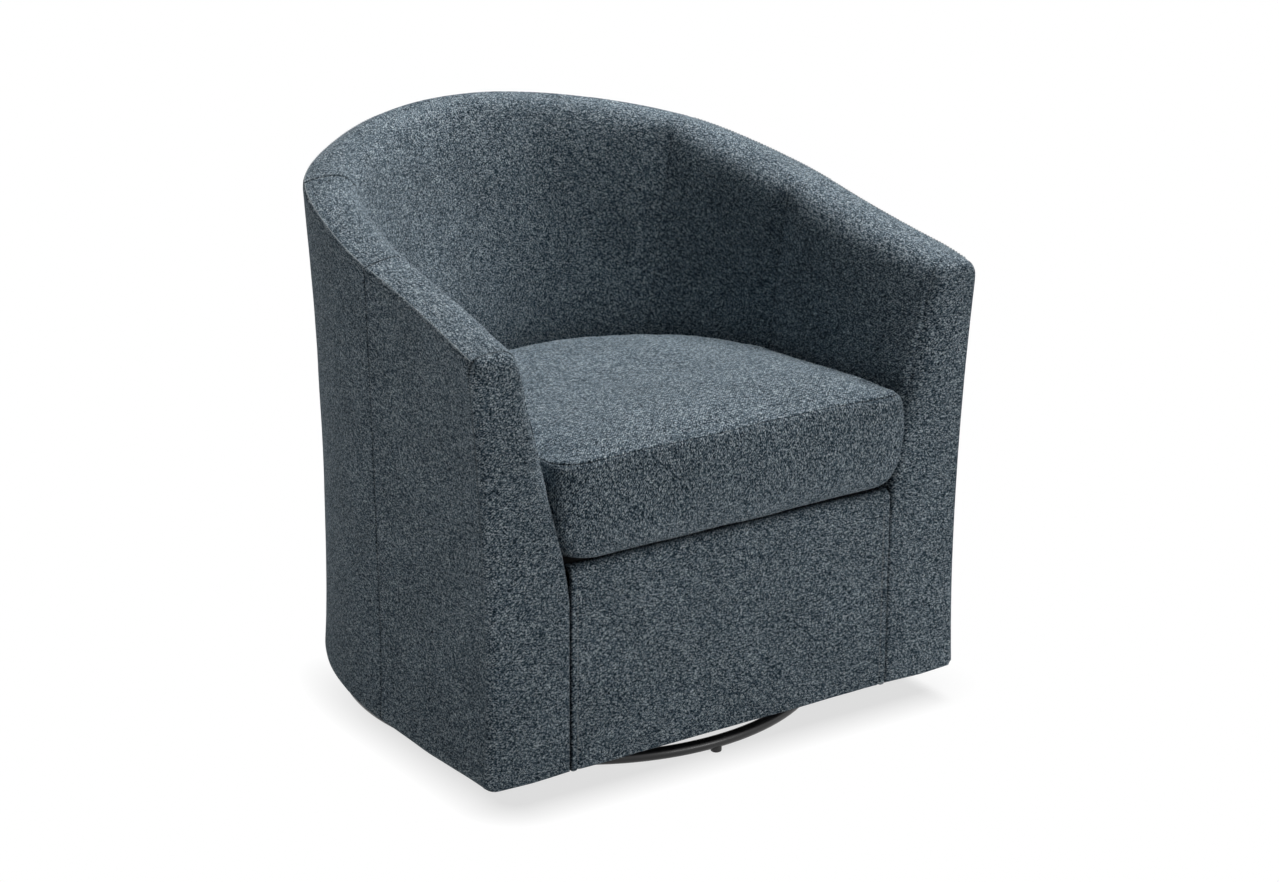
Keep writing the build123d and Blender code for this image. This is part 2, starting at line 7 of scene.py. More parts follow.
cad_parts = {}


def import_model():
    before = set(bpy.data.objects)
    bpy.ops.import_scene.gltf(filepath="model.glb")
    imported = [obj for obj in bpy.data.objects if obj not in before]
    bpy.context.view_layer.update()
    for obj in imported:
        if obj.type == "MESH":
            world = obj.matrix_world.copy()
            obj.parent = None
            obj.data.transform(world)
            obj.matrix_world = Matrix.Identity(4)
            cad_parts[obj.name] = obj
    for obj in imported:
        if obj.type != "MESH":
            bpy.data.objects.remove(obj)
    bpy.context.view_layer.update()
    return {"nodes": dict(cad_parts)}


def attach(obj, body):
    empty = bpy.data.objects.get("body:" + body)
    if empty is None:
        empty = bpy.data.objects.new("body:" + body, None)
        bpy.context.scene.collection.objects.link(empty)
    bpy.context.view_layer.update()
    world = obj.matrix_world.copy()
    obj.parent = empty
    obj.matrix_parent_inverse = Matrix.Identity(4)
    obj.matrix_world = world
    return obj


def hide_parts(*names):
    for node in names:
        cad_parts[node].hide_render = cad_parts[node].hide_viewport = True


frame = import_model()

# Shape of the tub, as in the part's source, in metres
HALF_WIDTH = 0.349
TUB_FRONT = 0.344
TUB_BACK = 0.349
CURVE_START = -0.074
TUB_BOTTOM = 0.049
WAIST = 0.197
ARM_HEIGHT = 0.586
BACK_HEIGHT = 0.693
RIM_SWEEP = 1.06
FRONT_LEAN = 0.022
SIDE_LEAN = 0.002
CORNER_LEAN = 0.016
BACK_LEAN = 0.005
FOOT_FLARE = 0.0045
CORNER_TURN = 37
CORNER_SPREAD = 14
ARM_CROWN = 0.005
BACK_CROWN = 0.015
CROWN_INSET = 0.043
RIM_ROLL = 0.026
SIDE_FOOT = 0.108
BACK_FOOT = 0.205
FOOT_SWEEP = 1.3
PAD_BULGE = 0.005
CORNER_SEAM_TURN = 36
FRONT_PAD = 0.016
FRONT_SEAM = 0.238
FRONT_COVER_TOP = 0.310
FRONT_NECK = 0.026
DECK_HEIGHT = 0.294
SEAT_RAKE = math.radians(4.4)
SEAT_HALF = 0.239
PAD_LOW = 0.003
PAD_TOP = 0.021
CUSHION_HALF = 0.246
CUSHION_TAPER = 0.009
CUSHION_OVERHANG = 0.010
CUSHION_BACK = 0.142
CUSHION_STRAIGHT = -0.105
# Strength of the painted shade along the cushion's seam
CUSHION_SEAM_SHADE = 0.7
CORNER_DROOP = 0.004
DROOP_REACH = 0.07
LEFT_CORNER = 0.034
RIGHT_CORNER = 0.020
CUSHION_LOW = 0.0213
CUSHION_HEIGHT = 0.125
CUSHION_CROWN = 0.020
CUSHION_DRAW = 0.028
DUST_INSET = 0.0015
DUST_HOLE = 0.182
INNER_FRONT = -TUB_FRONT + FRONT_PAD

# How the wall bends out above and below its waist
FRONT_CURVE = FRONT_LEAN / (ARM_HEIGHT - WAIST) ** 2
SIDE_CURVE = SIDE_LEAN / (ARM_HEIGHT - WAIST) ** 2
CORNER_CURVE = CORNER_LEAN / (BACK_HEIGHT - WAIST) ** 2
BACK_CURVE = BACK_LEAN / (BACK_HEIGHT - WAIST) ** 2
FOOT_CURVE = FOOT_FLARE / (WAIST - TUB_BOTTOM) ** 2

# Cloth details
CLOTH = 0.004
SEAM_WIDTH = 0.0034
SEAM_DEPTH = 0.0021
# Width of the painted shade beside a seam
SEAM_DARK = 0.0022
SEAM_SLANT = 0.021
CORNER_EASE = 0.0045
EASE_REACH = 0.060
CORNER_ROUND = 0.020
FRONT_HEM = 0.0025
SIDE_HEM = 0.0072
HEM_REACH = 0.16
HEM_RADIUS = 0.003
HEM_TUCK = 0.0045
FRONT_BOTTOM = TUB_BOTTOM - FRONT_HEM
UV_NAME = "weave"
# Name of the mesh attribute that carries the painted shade along the seams
SEAM_NAME = "seam"

# Steps between the points of a panel: close together at its seams, and wide for the cloth simulation
EDGE_STEPS = [0, 0.0005, 0.0012, 0.0021, 0.0032, 0.0046, 0.0065, 0.009]
PANEL_STEP = 0.010
WIDE_STEP = 0.006

# Points along each part of a wall section
WALL_POINTS = 110
HEM_POINTS = 7
FACE_POINTS = 60
ROLL_POINTS = 28
BAND_POINTS = 24

# Unevenness of the cloth: gathers along a seam, and a slow swell that dies away towards it
PUCKER = 0.0004
PUCKER_SIZE = 0.011
PUCKER_DRIFT = 0.05
PUCKER_START = 0.002
SWELL = 0.0009
ARM_SWELL = 0.0007
SWELL_REACH = 0.03
SIDE_SWELL_REACH = 0.02
SWELL_LENGTHS = {"wall": 0.11, "arm": 0.09, "front": 0.10, "cushion": 0.09, "pad": 0.06, "dust": 0.12}

# Rolls round the arm fronts. The one from the inside of an arm has these radii at these heights
ARCH_ROLL = 0.0145
OUTER_ROLL = 0.0150
HEM_ROLL = 0.004
ROLL_HEIGHTS = [0.27, 0.32, 0.38, 0.44, 0.52, 0.562]
ROLL_RADII = [0.006, 0.009, 0.020, 0.028, 0.028, 0.0145]

# Cloth simulation, then the slack of each kind of padded cloth and how far it may move
SIMULATED_FRAMES = 20
CLOTH_SETTINGS = {
    "quality": 5, "mass": 0.05, "air_damping": 2, "tension_stiffness": 20, "compression_stiffness": 20,
    "shear_stiffness": 8, "bending_stiffness": 0.4, "use_pressure": True, "uniform_pressure_force": 4,
}
PAD_GIVE = (0.004, 0.0045)
ARM_FRONT_GIVE = (0.003, 0.003)
CUSHION_GIVE = (0.006, 0.0035)


def rim_height(y):
    """Height of the outside top seam at a depth."""
    share = (y + TUB_FRONT) / (TUB_BACK + TUB_FRONT)
    return ARM_HEIGHT + (BACK_HEIGHT - ARM_HEIGHT) * max(share, 0) ** RIM_SWEEP


def deck_level(y):
    """Height of the raked deck at a depth."""
    return DECK_HEIGHT - (y + TUB_FRONT) * math.tan(SEAT_RAKE)


def run_lengths(points):
    """How far along a line of points each of them is."""
    return np.concatenate([[0], np.cumsum(np.linalg.norm(np.diff(points, axis=0), axis=1))])


# Plan of the tub, measured along the wall from the left front corner round to the right one
SIDE_RUN = TUB_FRONT + CURVE_START
CURVE_DEPTH = TUB_BACK - CURVE_START
turns = np.radians(np.linspace(0, 180, 3001))
curve_points = np.stack([-HALF_WIDTH * np.cos(turns), CURVE_START + CURVE_DEPTH * np.sin(turns)], 1)
curve_run = run_lengths(curve_points)
CURVE_RUN = curve_run[-1]
WALL_RUN = 2 * SIDE_RUN + CURVE_RUN


def run_at_turn(turn):
    """How far along the wall a turn of the curved back is."""
    return SIDE_RUN + float(np.interp(math.radians(turn), turns, curve_run))


class Station:
    """Upright section across the tub wall at a distance along it."""

    def __init__(self, run):
        turn = 0
        ahead = 0
        if run <= SIDE_RUN:
            self.x, self.y, out = -HALF_WIDTH, run - TUB_FRONT, (-1, 0)
            ahead = 1 - run / SIDE_RUN
        elif run >= SIDE_RUN + CURVE_RUN:
            self.x, self.y, out = HALF_WIDTH, WALL_RUN - run - TUB_FRONT, (1, 0)
            ahead = 1 - (WALL_RUN - run) / SIDE_RUN
        else:
            turn = float(np.interp(run - SIDE_RUN, curve_run, turns))
            self.x = -HALF_WIDTH * math.cos(turn)
            self.y = CURVE_START + CURVE_DEPTH * math.sin(turn)
            out = (-math.cos(turn) / HALF_WIDTH, math.sin(turn) / CURVE_DEPTH)
        length = math.hypot(*out)
        self.out = (out[0] / length, out[1] / length)
        share = math.sin(turn)
        corner = (90 - abs(math.degrees(turn) - 90) - CORNER_TURN) / CORNER_SPREAD
        self.curve = (
            SIDE_CURVE
            + (FRONT_CURVE - SIDE_CURVE) * ahead**2
            + (BACK_CURVE - SIDE_CURVE) * share**2
            + CORNER_CURVE * math.exp(-(corner**2))
        )
        self.rim = rim_height(self.y)
        self.rise = ARM_CROWN + (BACK_CROWN - ARM_CROWN) * share
        self.foot_depth = SIDE_FOOT + (BACK_FOOT - SIDE_FOOT) * max(share, 0) ** FOOT_SWEEP
        self.foot_height = deck_level(self.y - self.out[1] * self.foot_depth)
        from_front = max(min(run, WALL_RUN - run), 0)
        self.ease = CORNER_EASE * min(max(0, 1 - (from_front - FRONT_PAD) / EASE_REACH), 1) ** 2
        lower = min(max((from_front - FRONT_PAD) / HEM_REACH, 0), 1)
        self.bottom = TUB_BOTTOM - FRONT_HEM - (SIDE_HEM - FRONT_HEM) * lower**2 * (3 - 2 * lower)

    def world(self, flat):
        """Points of the section, out and up, as points in space."""
        flat = np.asarray(flat, float)
        return np.stack([self.x + self.out[0] * flat[:, 0], self.y + self.out[1] * flat[:, 0], flat[:, 1]], 1)

    def reach(self, heights):
        """How far out the wall is at given heights."""
        return np.where(heights > WAIST, self.curve, FOOT_CURVE) * (heights - WAIST) ** 2

    def eased(self, flat, gaps):
        """Points near the rim seam, softened where it runs into the round corner of the arm front."""
        near = np.clip(1 - gaps / CORNER_ROUND, 0, 1) ** 2
        return flat - self.ease * near[:, None]

    def outside(self):
        """Outside of the wall, from the rim seam down to the bottom edge and round it."""
        heights = np.linspace(self.rim, self.bottom + HEM_RADIUS, WALL_POINTS)
        wall = np.stack([self.reach(heights), heights], 1)
        foot = wall[-1]
        angles = np.radians(np.linspace(10, 90, HEM_POINTS))
        hem = foot - [HEM_RADIUS, 0] + HEM_RADIUS * np.stack([np.cos(angles), -np.sin(angles)], 1)
        wall = self.eased(wall, self.rim - heights)
        return np.concatenate([wall, hem, [[foot[0] - HEM_TUCK, self.bottom]]])

    def inside(self):
        """Inside of the wall, from the deck up its face, round the roll and over the rim to its seam."""
        edge = self.curve * (self.rim - WAIST) ** 2
        top = np.array([edge - CROWN_INSET, self.rim + self.rise])
        foot = np.array([-self.foot_depth, self.foot_height])
        lean = 0
        # The end of the face and the lean of the roll depend on each other
        for _ in range(4):
            end = top + [-RIM_ROLL * math.cos(lean), -RIM_ROLL + RIM_ROLL * math.sin(lean)]
            chord = np.linalg.norm(end - foot)
            lean = math.atan2(end[0] - foot[0], end[1] - foot[1]) + 4 * PAD_BULGE / chord
        share = np.linspace(0, 1, FACE_POINTS)[:, None]
        across = np.array([-(end - foot)[1], (end - foot)[0]]) / chord
        face = foot + (end - foot) * share + across * PAD_BULGE * 4 * share * (1 - share)
        angles = np.linspace(math.pi - lean, math.pi / 2, ROLL_POINTS)[1:]
        roll = top + np.stack([RIM_ROLL * np.cos(angles), RIM_ROLL * np.sin(angles) - RIM_ROLL], 1)
        radius = (CROWN_INSET**2 + self.rise**2) / (2 * self.rise)
        sweep = np.linspace(0, math.asin(CROWN_INSET / radius), BAND_POINTS)[1:]
        band = top + np.stack([radius * np.sin(sweep), radius * np.cos(sweep) - radius], 1)
        band = self.eased(band, edge - band[:, 0])
        return np.concatenate([face, roll, band])


def edge_roll(heights):
    """Radius of the roll from the inside of an arm to its front, soft above the seat and tight below it."""
    return np.interp(heights, ROLL_HEIGHTS, ROLL_RADII)


def rolled(distance, radius):
    """How far a rolled edge falls back at a distance from its end."""
    near = np.clip(distance, 0, radius)
    return radius - np.sqrt(np.maximum(radius**2 - (radius - near) ** 2, 0))


def spaced(length, step, lead=True, tail=True):
    """Distances along a run, close together at the seams."""
    ahead = EDGE_STEPS if lead else [0]
    behind = EDGE_STEPS if tail else [0]
    inner = length - ahead[-1] - behind[-1]
    count = max(2, round(inner / step))
    middle = ahead[-1] + inner * np.arange(1, count) / count
    return np.concatenate([ahead, middle, length - np.array(behind[::-1])])


def wide_steps(distances):
    """Places in a list of distances that leave out the ones crowded at the seams."""
    kept = [0]
    for k in range(1, len(distances) - 1):
        if min(distances[k] - distances[kept[-1]], distances[-1] - distances[k]) >= WIDE_STEP:
            kept.append(k)
    return np.array(kept + [len(distances) - 1])


def mean_length(lines):
    """Mean length of lines that have the same number of points."""
    return float(np.mean(np.linalg.norm(np.diff(lines, axis=1), axis=2).sum(1)))


def between(spots, run, points):
    """Points at spots along a run, from the points at known places of it."""
    return np.stack([np.interp(spots, run, points[:, k]) for k in range(points.shape[1])], -1)


def along(points, distances):
    """Points at distances along a line of points, stretched to its whole length."""
    run = run_lengths(points)
    return between(distances / distances[-1] * run[-1], run, points)


def smoothed(points, steps):
    """Smooth line through points, with a number of steps from each to the next."""
    ends = np.concatenate([[2 * points[0] - points[1]], points, [2 * points[-1] - points[-2]]])
    t = (np.arange(steps) / steps)[:, None]
    parts = []
    for a, b, c, d in zip(ends[:-3], ends[1:-2], ends[2:-1], ends[3:]):
        parts.append(b + 0.5 * t * (c - a + t * (2 * a - 5 * b + 4 * c - d + t * (3 * (b - c) + d - a))))
    return np.concatenate(parts + [points[-1:]])


def normals_of(grid):
    """Way out of the cloth at each point of a grid."""
    across = np.cross(np.gradient(grid, axis=0), np.gradient(grid, axis=1))
    return across / np.maximum(np.linalg.norm(across, axis=2, keepdims=True), 1e-12)


def fade_in(distance, reach):
    """Share that grows evenly from 0 at no distance to 1 at a reach."""
    return np.clip(distance / reach, 0, 1)


def dip(distance, width=SEAM_WIDTH, depth=SEAM_DEPTH):
    """How far cloth turns in beside a seam."""
    near = np.clip(1 - distance / width, 0, 1)
    return depth * (1 - np.sqrt(1 - near**2))


def ripple(points, size, height, seed):
    """Slow uneven swell of stretched cloth."""
    flat = points.reshape(-1, 3) / size + seed * 7.3
    values = [noise.noise(Vector(p)) + 0.4 * noise.noise(Vector(p) * 2.3) for p in flat]
    return height * np.array(values).reshape(points.shape[:-1])


def pucker(runs, distance, seed):
    """Small gathers of the cloth along a seam, dying away from it."""
    flat = np.asarray(runs, float).ravel()
    wave = [noise.noise(Vector((run / PUCKER_SIZE, seed * 3.7, run / PUCKER_DRIFT))) for run in flat]
    wave = np.array(wave).reshape(np.shape(runs))
    return PUCKER * wave * np.exp(-distance / PUCKER_SIZE) * (1 - np.exp(-distance / PUCKER_START))


def grid_quads(rows, columns, closed=False):
    """Faces between the points of a grid, or of one whose last row joins its first."""
    index = np.arange(rows * columns).reshape(rows, columns)
    if closed:
        index = np.concatenate([index, index[:1]])
    return np.stack([index[:-1, :-1], index[1:, :-1], index[1:, 1:], index[:-1, 1:]], -1).reshape(-1, 4)


def settle(grid, rows, columns, held, give, closed=False):
    """How far padded cloth moves as its filling presses on it, simulated on the wider steps of a grid."""
    slack, most = give
    coarse = grid[np.ix_(rows, columns)]
    count = coarse.shape[:2]
    mesh = bpy.data.meshes.new("settling")
    mesh.from_pydata(coarse.reshape(-1, 3).tolist(), [], grid_quads(*count, closed).tolist())
    obj = bpy.data.objects.new("settling", mesh)
    bpy.context.scene.collection.objects.link(obj)
    group = obj.vertex_groups.new(name="held")
    pinned = np.broadcast_to(held[np.ix_(rows, columns)], count)
    group.add(np.flatnonzero(pinned.ravel()).tolist(), 1.0, "REPLACE")
    cloth = obj.modifiers.new("cloth", "CLOTH")
    cloth.point_cache.frame_start = 1
    cloth.point_cache.frame_end = SIMULATED_FRAMES
    for name, value in CLOTH_SETTINGS.items():
        setattr(cloth.settings, name, value)
    cloth.settings.shrink_min = -slack
    cloth.settings.vertex_group_mass = "held"
    cloth.settings.effector_weights.gravity = 0
    cloth.collision_settings.use_collision = False
    scene = bpy.context.scene
    for step in range(1, SIMULATED_FRAMES + 1):
        scene.frame_set(step)
    settled = obj.evaluated_get(bpy.context.evaluated_depsgraph_get())
    moved = np.empty(len(mesh.vertices) * 3)
    settled.data.vertices.foreach_get("co", moved)
    scene.frame_set(1)
    bpy.data.objects.remove(obj)
    bpy.data.meshes.remove(mesh)
    move = moved.reshape(coarse.shape) - coarse
    size = np.linalg.norm(move, axis=2, keepdims=True)
    move = move * np.minimum(1, most * np.tanh(size / most) / np.maximum(size, 1e-9))
    return spread(spread(move, rows, grid.shape[0], 0), columns, grid.shape[1], 1)


def spread(values, places, count, axis):
    """Values at some places of a list, drawn out evenly over all of it."""
    values = np.moveaxis(values, axis, 0)
    spots = np.arange(count)
    high = np.clip(np.searchsorted(places, spots, "right"), 1, len(places) - 1)
    low = high - 1
    share = (spots - places[low]) / (places[high] - places[low])
    share = share.reshape((-1,) + (1,) * (values.ndim - 1))
    return np.moveaxis(values[low] * (1 - share) + values[high] * share, 0, axis)


def make_piece(name, verts, faces, uvs, seam=None):
    """Mesh piece. The uvs are one to a vertex, or one to each corner of each face, and the seam values are
    painted shade along its seams.
    """
    mesh = bpy.data.meshes.new(name)
    mesh.from_pydata(np.asarray(verts).tolist(), [], faces)
    layer = mesh.uv_layers.new(name=UV_NAME)
    uvs = np.asarray(uvs, np.float32)
    if len(uvs) != len(mesh.loops):
        corners = np.zeros(len(mesh.loops), np.int32)
        mesh.loops.foreach_get("vertex_index", corners)
        uvs = uvs[corners]
    layer.uv.foreach_set("vector", uvs.ravel())
    dark = mesh.attributes.new(SEAM_NAME, "FLOAT", "POINT")
    if seam is not None:
        dark.data.foreach_set("value", np.asarray(seam, np.float32).ravel())
    mesh.polygons.foreach_set("use_smooth", np.ones(len(mesh.polygons), bool))
    mesh.update()
    piece = bpy.data.objects.new(name, mesh)
    bpy.context.scene.collection.objects.link(piece)
    return piece


def shell(name, grid, uvs, normals, seam):
    """Closed thin piece of cloth from a grid of points on its face, with painted shade along its seams."""
    rows, columns = grid.shape[:2]
    count = rows * columns
    index = np.arange(count).reshape(rows, columns)
    quads = grid_quads(rows, columns)
    rim = np.concatenate([index[:-1, 0], index[-1, :-1], index[:0:-1, -1], index[0, :0:-1]])
    after = np.roll(rim, -1)
    wall = np.stack([after, rim, rim + count, after + count], 1)
    faces = np.concatenate([quads, quads[:, ::-1] + count, wall])
    verts = np.concatenate([grid.reshape(-1, 3), (grid - normals * CLOTH).reshape(-1, 3)])
    uvs = np.concatenate([uvs.reshape(-1, 2)] * 2)
    return make_piece(name, verts, faces.tolist(), uvs, np.concatenate([seam, seam]).ravel())


def painted_seam_shade(distance):
    """How much painted shade a seam puts on a point, from 0 on the open cloth to 1 in the seam."""
    return np.clip(1 - distance / SEAM_DARK, 0, 1)


covers = {"upholstery": [], "lining": []}


def cover(piece, body, slot, *nodes):
    """Fixes a piece of cloth to a body, in place of its plain solids."""
    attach(piece, body)
    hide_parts(*nodes)
    covers[slot].append(piece)


def upholster(piece, body, fill, *nodes):
    """Fixes a padded piece of the chair's cover to a body."""
    cover(piece, body, "upholstery", *nodes)


# Tub wall: outside covers, and inside pads that roll over the rim

STATION_STEP = 0.003
SEAM_MARGIN = 0.001
RIM_STITCH_STEP = 4
# How far back the inside's side seam lies, at shares of the way from the deck to the rim
SEAM_SHARES = [0, 0.7, 0.86, 1]
SEAM_BACK = [0.010, 0.024, 0.020, 0.5 * SEAM_SLANT]
# How strong the painted shade along the rim seam is, how sharply the seams round the arm fronts are drawn in,
# which sets their painted shade as well as their dip, and the width and depth of that dip
RIM_SEAM_SHADE = 0.6
ARCH_TIGHT = {"first": 0.95, "last": 0.25}
ARCH_LEVEL = 0.572
ARCH_FADE = 0.01
ARCH_DIP = (0.0022, 0.0018)
OUTER_TIGHT = (0.05, 0.85)
OUTER_LEVEL = 0.26
OUTER_FADE = 0.26
OUTER_DIP = (0.0022, 0.0010)


def outer_tight(heights):
    """Tightness of the seam between an arm's outside and its front, which sets its dip and its painted shade,
    sharp at the top and lost lower down.
    """
    return np.clip((heights - OUTER_LEVEL) / OUTER_FADE, *OUTER_TIGHT)


def side_seam(section, side):
    """Side seam of a wall panel, as distances along the wall for shares of the way along its section."""
    def at(shares):
        if section == "outside":
            back = SEAM_SLANT * (0.5 - shares)
        else:
            back = np.interp(shares, SEAM_SHARES, SEAM_BACK)
        return SIDE_RUN + back if side < 0 else WALL_RUN - SIDE_RUN - back
    return at


def straight_seam(run):
    """Upright seam at a distance along the wall."""
    def at(shares):
        return np.full(len(shares), run)
    return at


def wall_piece(name, start, end, section, seed, tight, open_end=None):
    """Cloth panel of the tub wall between two seams. Returns the piece, its face grid and its normals."""
    outside = section == "outside"
    ends = np.linspace(0, 1, 5)
    first = min(start(ends)) - SEAM_MARGIN
    last = max(end(ends)) + SEAM_MARGIN
    dense = np.linspace(first, last, int((last - first) / STATION_STEP) + 2)
    lines = [getattr(Station(run), section)() for run in dense]
    mean = mean_length(lines)
    downs = spaced(mean, PANEL_STEP, lead=outside, tail=not outside)
    table = np.stack([Station(run).world(along(line, downs)) for run, line in zip(dense, lines)])
    starts, stops = start(downs / mean), end(downs / mean)
    width = float(np.mean(stops - starts))
    across = spaced(width, PANEL_STEP)
    runs = starts + (stops - starts) * (across / width)[:, None]
    grid = np.stack([between(runs[:, k], dense, table[:, k]) for k in range(len(downs))], 1)
    normals = normals_of(grid)
    from_ends = np.minimum(across, width - across)
    if open_end is None:
        tightness = np.where(across < width / 2, tight[0], tight[1])[:, None]
    else:
        from_ends = across if open_end == "last" else width - across
        from_front = (width - across if open_end == "last" else across)[:, None]
        tightness = tight[0] if open_end == "last" else tight[1]
    from_ends = from_ends[:, None]
    from_rim = (downs if outside else mean - downs)[None, :]
    # Painted shade along the side seams and the rim seam
    dark = np.maximum(painted_seam_shade(from_ends) * tightness, painted_seam_shade(from_rim) * RIM_SEAM_SHADE)
    turn_in = np.maximum(dip(from_ends) * tightness, dip(from_rim))
    calm = fade_in(from_rim, SWELL_REACH) * fade_in(from_ends, SIDE_SWELL_REACH)
    out = ripple(grid, SWELL_LENGTHS["wall"], SWELL, seed) * calm - turn_in
    out = out + pucker(runs, from_rim, seed) + pucker(downs[None, :], from_ends, seed + 20)
    if not outside:
        held = np.broadcast_to(from_rim < SWELL_REACH, runs.shape).copy()
        held[[0, -1]] = True
        held[:, [0, -1]] = True
        move = settle(grid, wide_steps(across), wide_steps(downs), held, PAD_GIVE)
        out = out + (move * normals).sum(2) * fade_in(from_ends, SWELL_REACH)
    if open_end is not None:
        heights = grid[..., 2]
        if outside:
            tightness, dent = outer_tight(heights), OUTER_DIP
        else:
            out = out - rolled(FRONT_PAD + from_front, edge_roll(heights))
            tightness, dent = fade_in(heights - ARCH_LEVEL, ARCH_FADE) * ARCH_TIGHT[open_end], ARCH_DIP
        out = out - tightness * dip(from_front, *dent)
        # Painted shade along the seam round the arm front, as strong as the seam is tight
        dark = np.maximum(dark, tightness * painted_seam_shade(from_front))
    face = grid + normals * out[..., None]
    uvs = np.stack([runs, np.broadcast_to((-downs if outside else downs)[None, :], runs.shape)], -1)
    return shell(name, face, uvs, normals, dark), face, normals


left_front, right_front = straight_seam(FRONT_PAD), straight_seam(WALL_RUN - FRONT_PAD)
left_corner = straight_seam(run_at_turn(CORNER_SEAM_TURN))
right_corner = straight_seam(run_at_turn(180 - CORNER_SEAM_TURN))
left_out, right_out = side_seam("outside", -1), side_seam("outside", 1)
left_in, right_in = side_seam("inside", -1), side_seam("inside", 1)
panels = {
    "outside_arm_left": (left_front, left_out, "outside"),
    "outside_back": (left_out, right_out, "outside"),
    "outside_arm_right": (right_out, right_front, "outside"),
    "inside_arm_left": (left_front, left_in, "inside"),
    "inside_corner_left": (left_in, left_corner, "inside"),
    "inside_back": (left_corner, right_corner, "inside"),
    "inside_corner_right": (right_corner, right_in, "inside"),
    "inside_arm_right": (right_in, right_front, "inside"),
}
# How tight each seam is, which sets both its dip and its painted shade
SEAM_TIGHT = {
    left_out: 1.0, right_out: 1.0, left_in: 1.0, left_corner: 1.0, right_corner: 0.34, right_in: 0.34,
}
rim_lines = []
for seed, (node, (start, end, section)) in enumerate(panels.items()):
    open_end = {left_front: "first", right_front: "last"}.get(start if start is left_front else end)
    tight = [SEAM_TIGHT.get(seam) for seam in (start, end)]
    piece, face, normals = wall_piece(node + "_cloth", start, end, section, seed, tight, open_end)
    upholster(piece, "seat", 0.9 if section == "outside" else 0.8, node)
    if section == "inside":
        rim_lines.append((face[:, -1 - RIM_STITCH_STEP], normals[:, -1 - RIM_STITCH_STEP]))


# Arm fronts: padded panels with a soft roll round their outline

ARM_FRONT_HIGH = 0.56
ARM_FRONT_WIDE = 0.11
ARM_EDGE_STEPS = np.array([0, 0.0002, 0.0008, 0.0018, 0.0032, 0.0051, 0.0075, 0.0105, 0.0145])
ON_EDGE = 0.0001
ARM_PLUMP = 0.0015
PLUMP_REACH = 0.03
LEAN_REACH = 0.03
ARM_HELD = 0.012
ARM_UP_POINTS = 70
ARM_ACROSS_POINTS = 14


def arm_steps(length, count):
    """Steps along a side of an arm front, close together at both ends."""
    edge = ARM_EDGE_STEPS
    return np.concatenate([edge, np.linspace(edge[-1], length - edge[-1], count)[1:-1], length - edge[::-1]])


def corner_eased(outer, arch):
    """The outer side and the arch, with the corner between them made round."""
    corner = outer[-1]
    low = outer[np.linalg.norm(outer - corner, axis=1) > CORNER_ROUND]
    far = arch[np.linalg.norm(arch - corner, axis=1) > CORNER_ROUND]
    t = np.linspace(0, 1, 17)[:, None]
    turn = low[-1] * (1 - t) ** 2 + 2 * corner * t * (1 - t) + far[0] * t**2
    return np.concatenate([low, turn[1:9]]), np.concatenate([turn[8:-1], far])


def arm_front_outline(samples):
    """Outer side, arch and inner side of the left arm front, as x and z."""
    station = Station(0)
    station.ease = 0
    heights = np.linspace(FRONT_BOTTOM, station.rim, 200)
    outside = -HALF_WIDTH - station.reach(heights) + rolled(heights - FRONT_BOTTOM, HEM_ROLL)
    outer = np.stack([outside, heights], 1)
    section = station.inside()
    section = np.stack([-HALF_WIDTH - section[:, 0], section[:, 1]], 1)[::-1]
    shoulder = len(section) - FACE_POINTS
    arch, face = section[: shoulder + 1], section[shoulder:]
    outer, arch = corner_eased(outer, arch)
    neck = np.array([[-FRONT_SEAM, DECK_HEIGHT - FRONT_NECK], [-FRONT_SEAM, FRONT_BOTTOM]])
    inner = np.concatenate([face, neck])[::-1]
    return along(outer, samples), arch, along(inner, samples)


def drawn_back(inner):
    """The inner side of an arm front, drawn back where its soft roll begins on the inside of the arm."""
    moved = inner.copy()
    moved[:, 0] -= rolled(FRONT_PAD, edge_roll(inner[:, 1]))
    return moved


def nearest(points, line):
    """Distance from points to a line of points, and the way out to it."""
    a, b = line[:-1], line[1:]
    run = b - a
    share = np.einsum("pij,ij->pi", points[:, None] - a[None], run) / (run**2).sum(1)
    feet = a[None] + np.clip(share, 0, 1)[..., None] * run[None]
    gaps = np.linalg.norm(points[:, None] - feet, axis=2)
    best = gaps.argmin(1)
    rows = np.arange(len(points))
    gap = gaps[rows, best]
    return gap, (feet[rows, best] - points) / np.maximum(gap, 1e-6)[:, None]


def over_roll(gap, radius):
    """Distance along the cloth from the back of a roll, for points a gap in from its edge."""
    turned = radius * np.arccos(np.clip(1 - gap / radius, 0, 1))
    return np.where(gap < ON_EDGE, 0, turned + FRONT_PAD - radius)


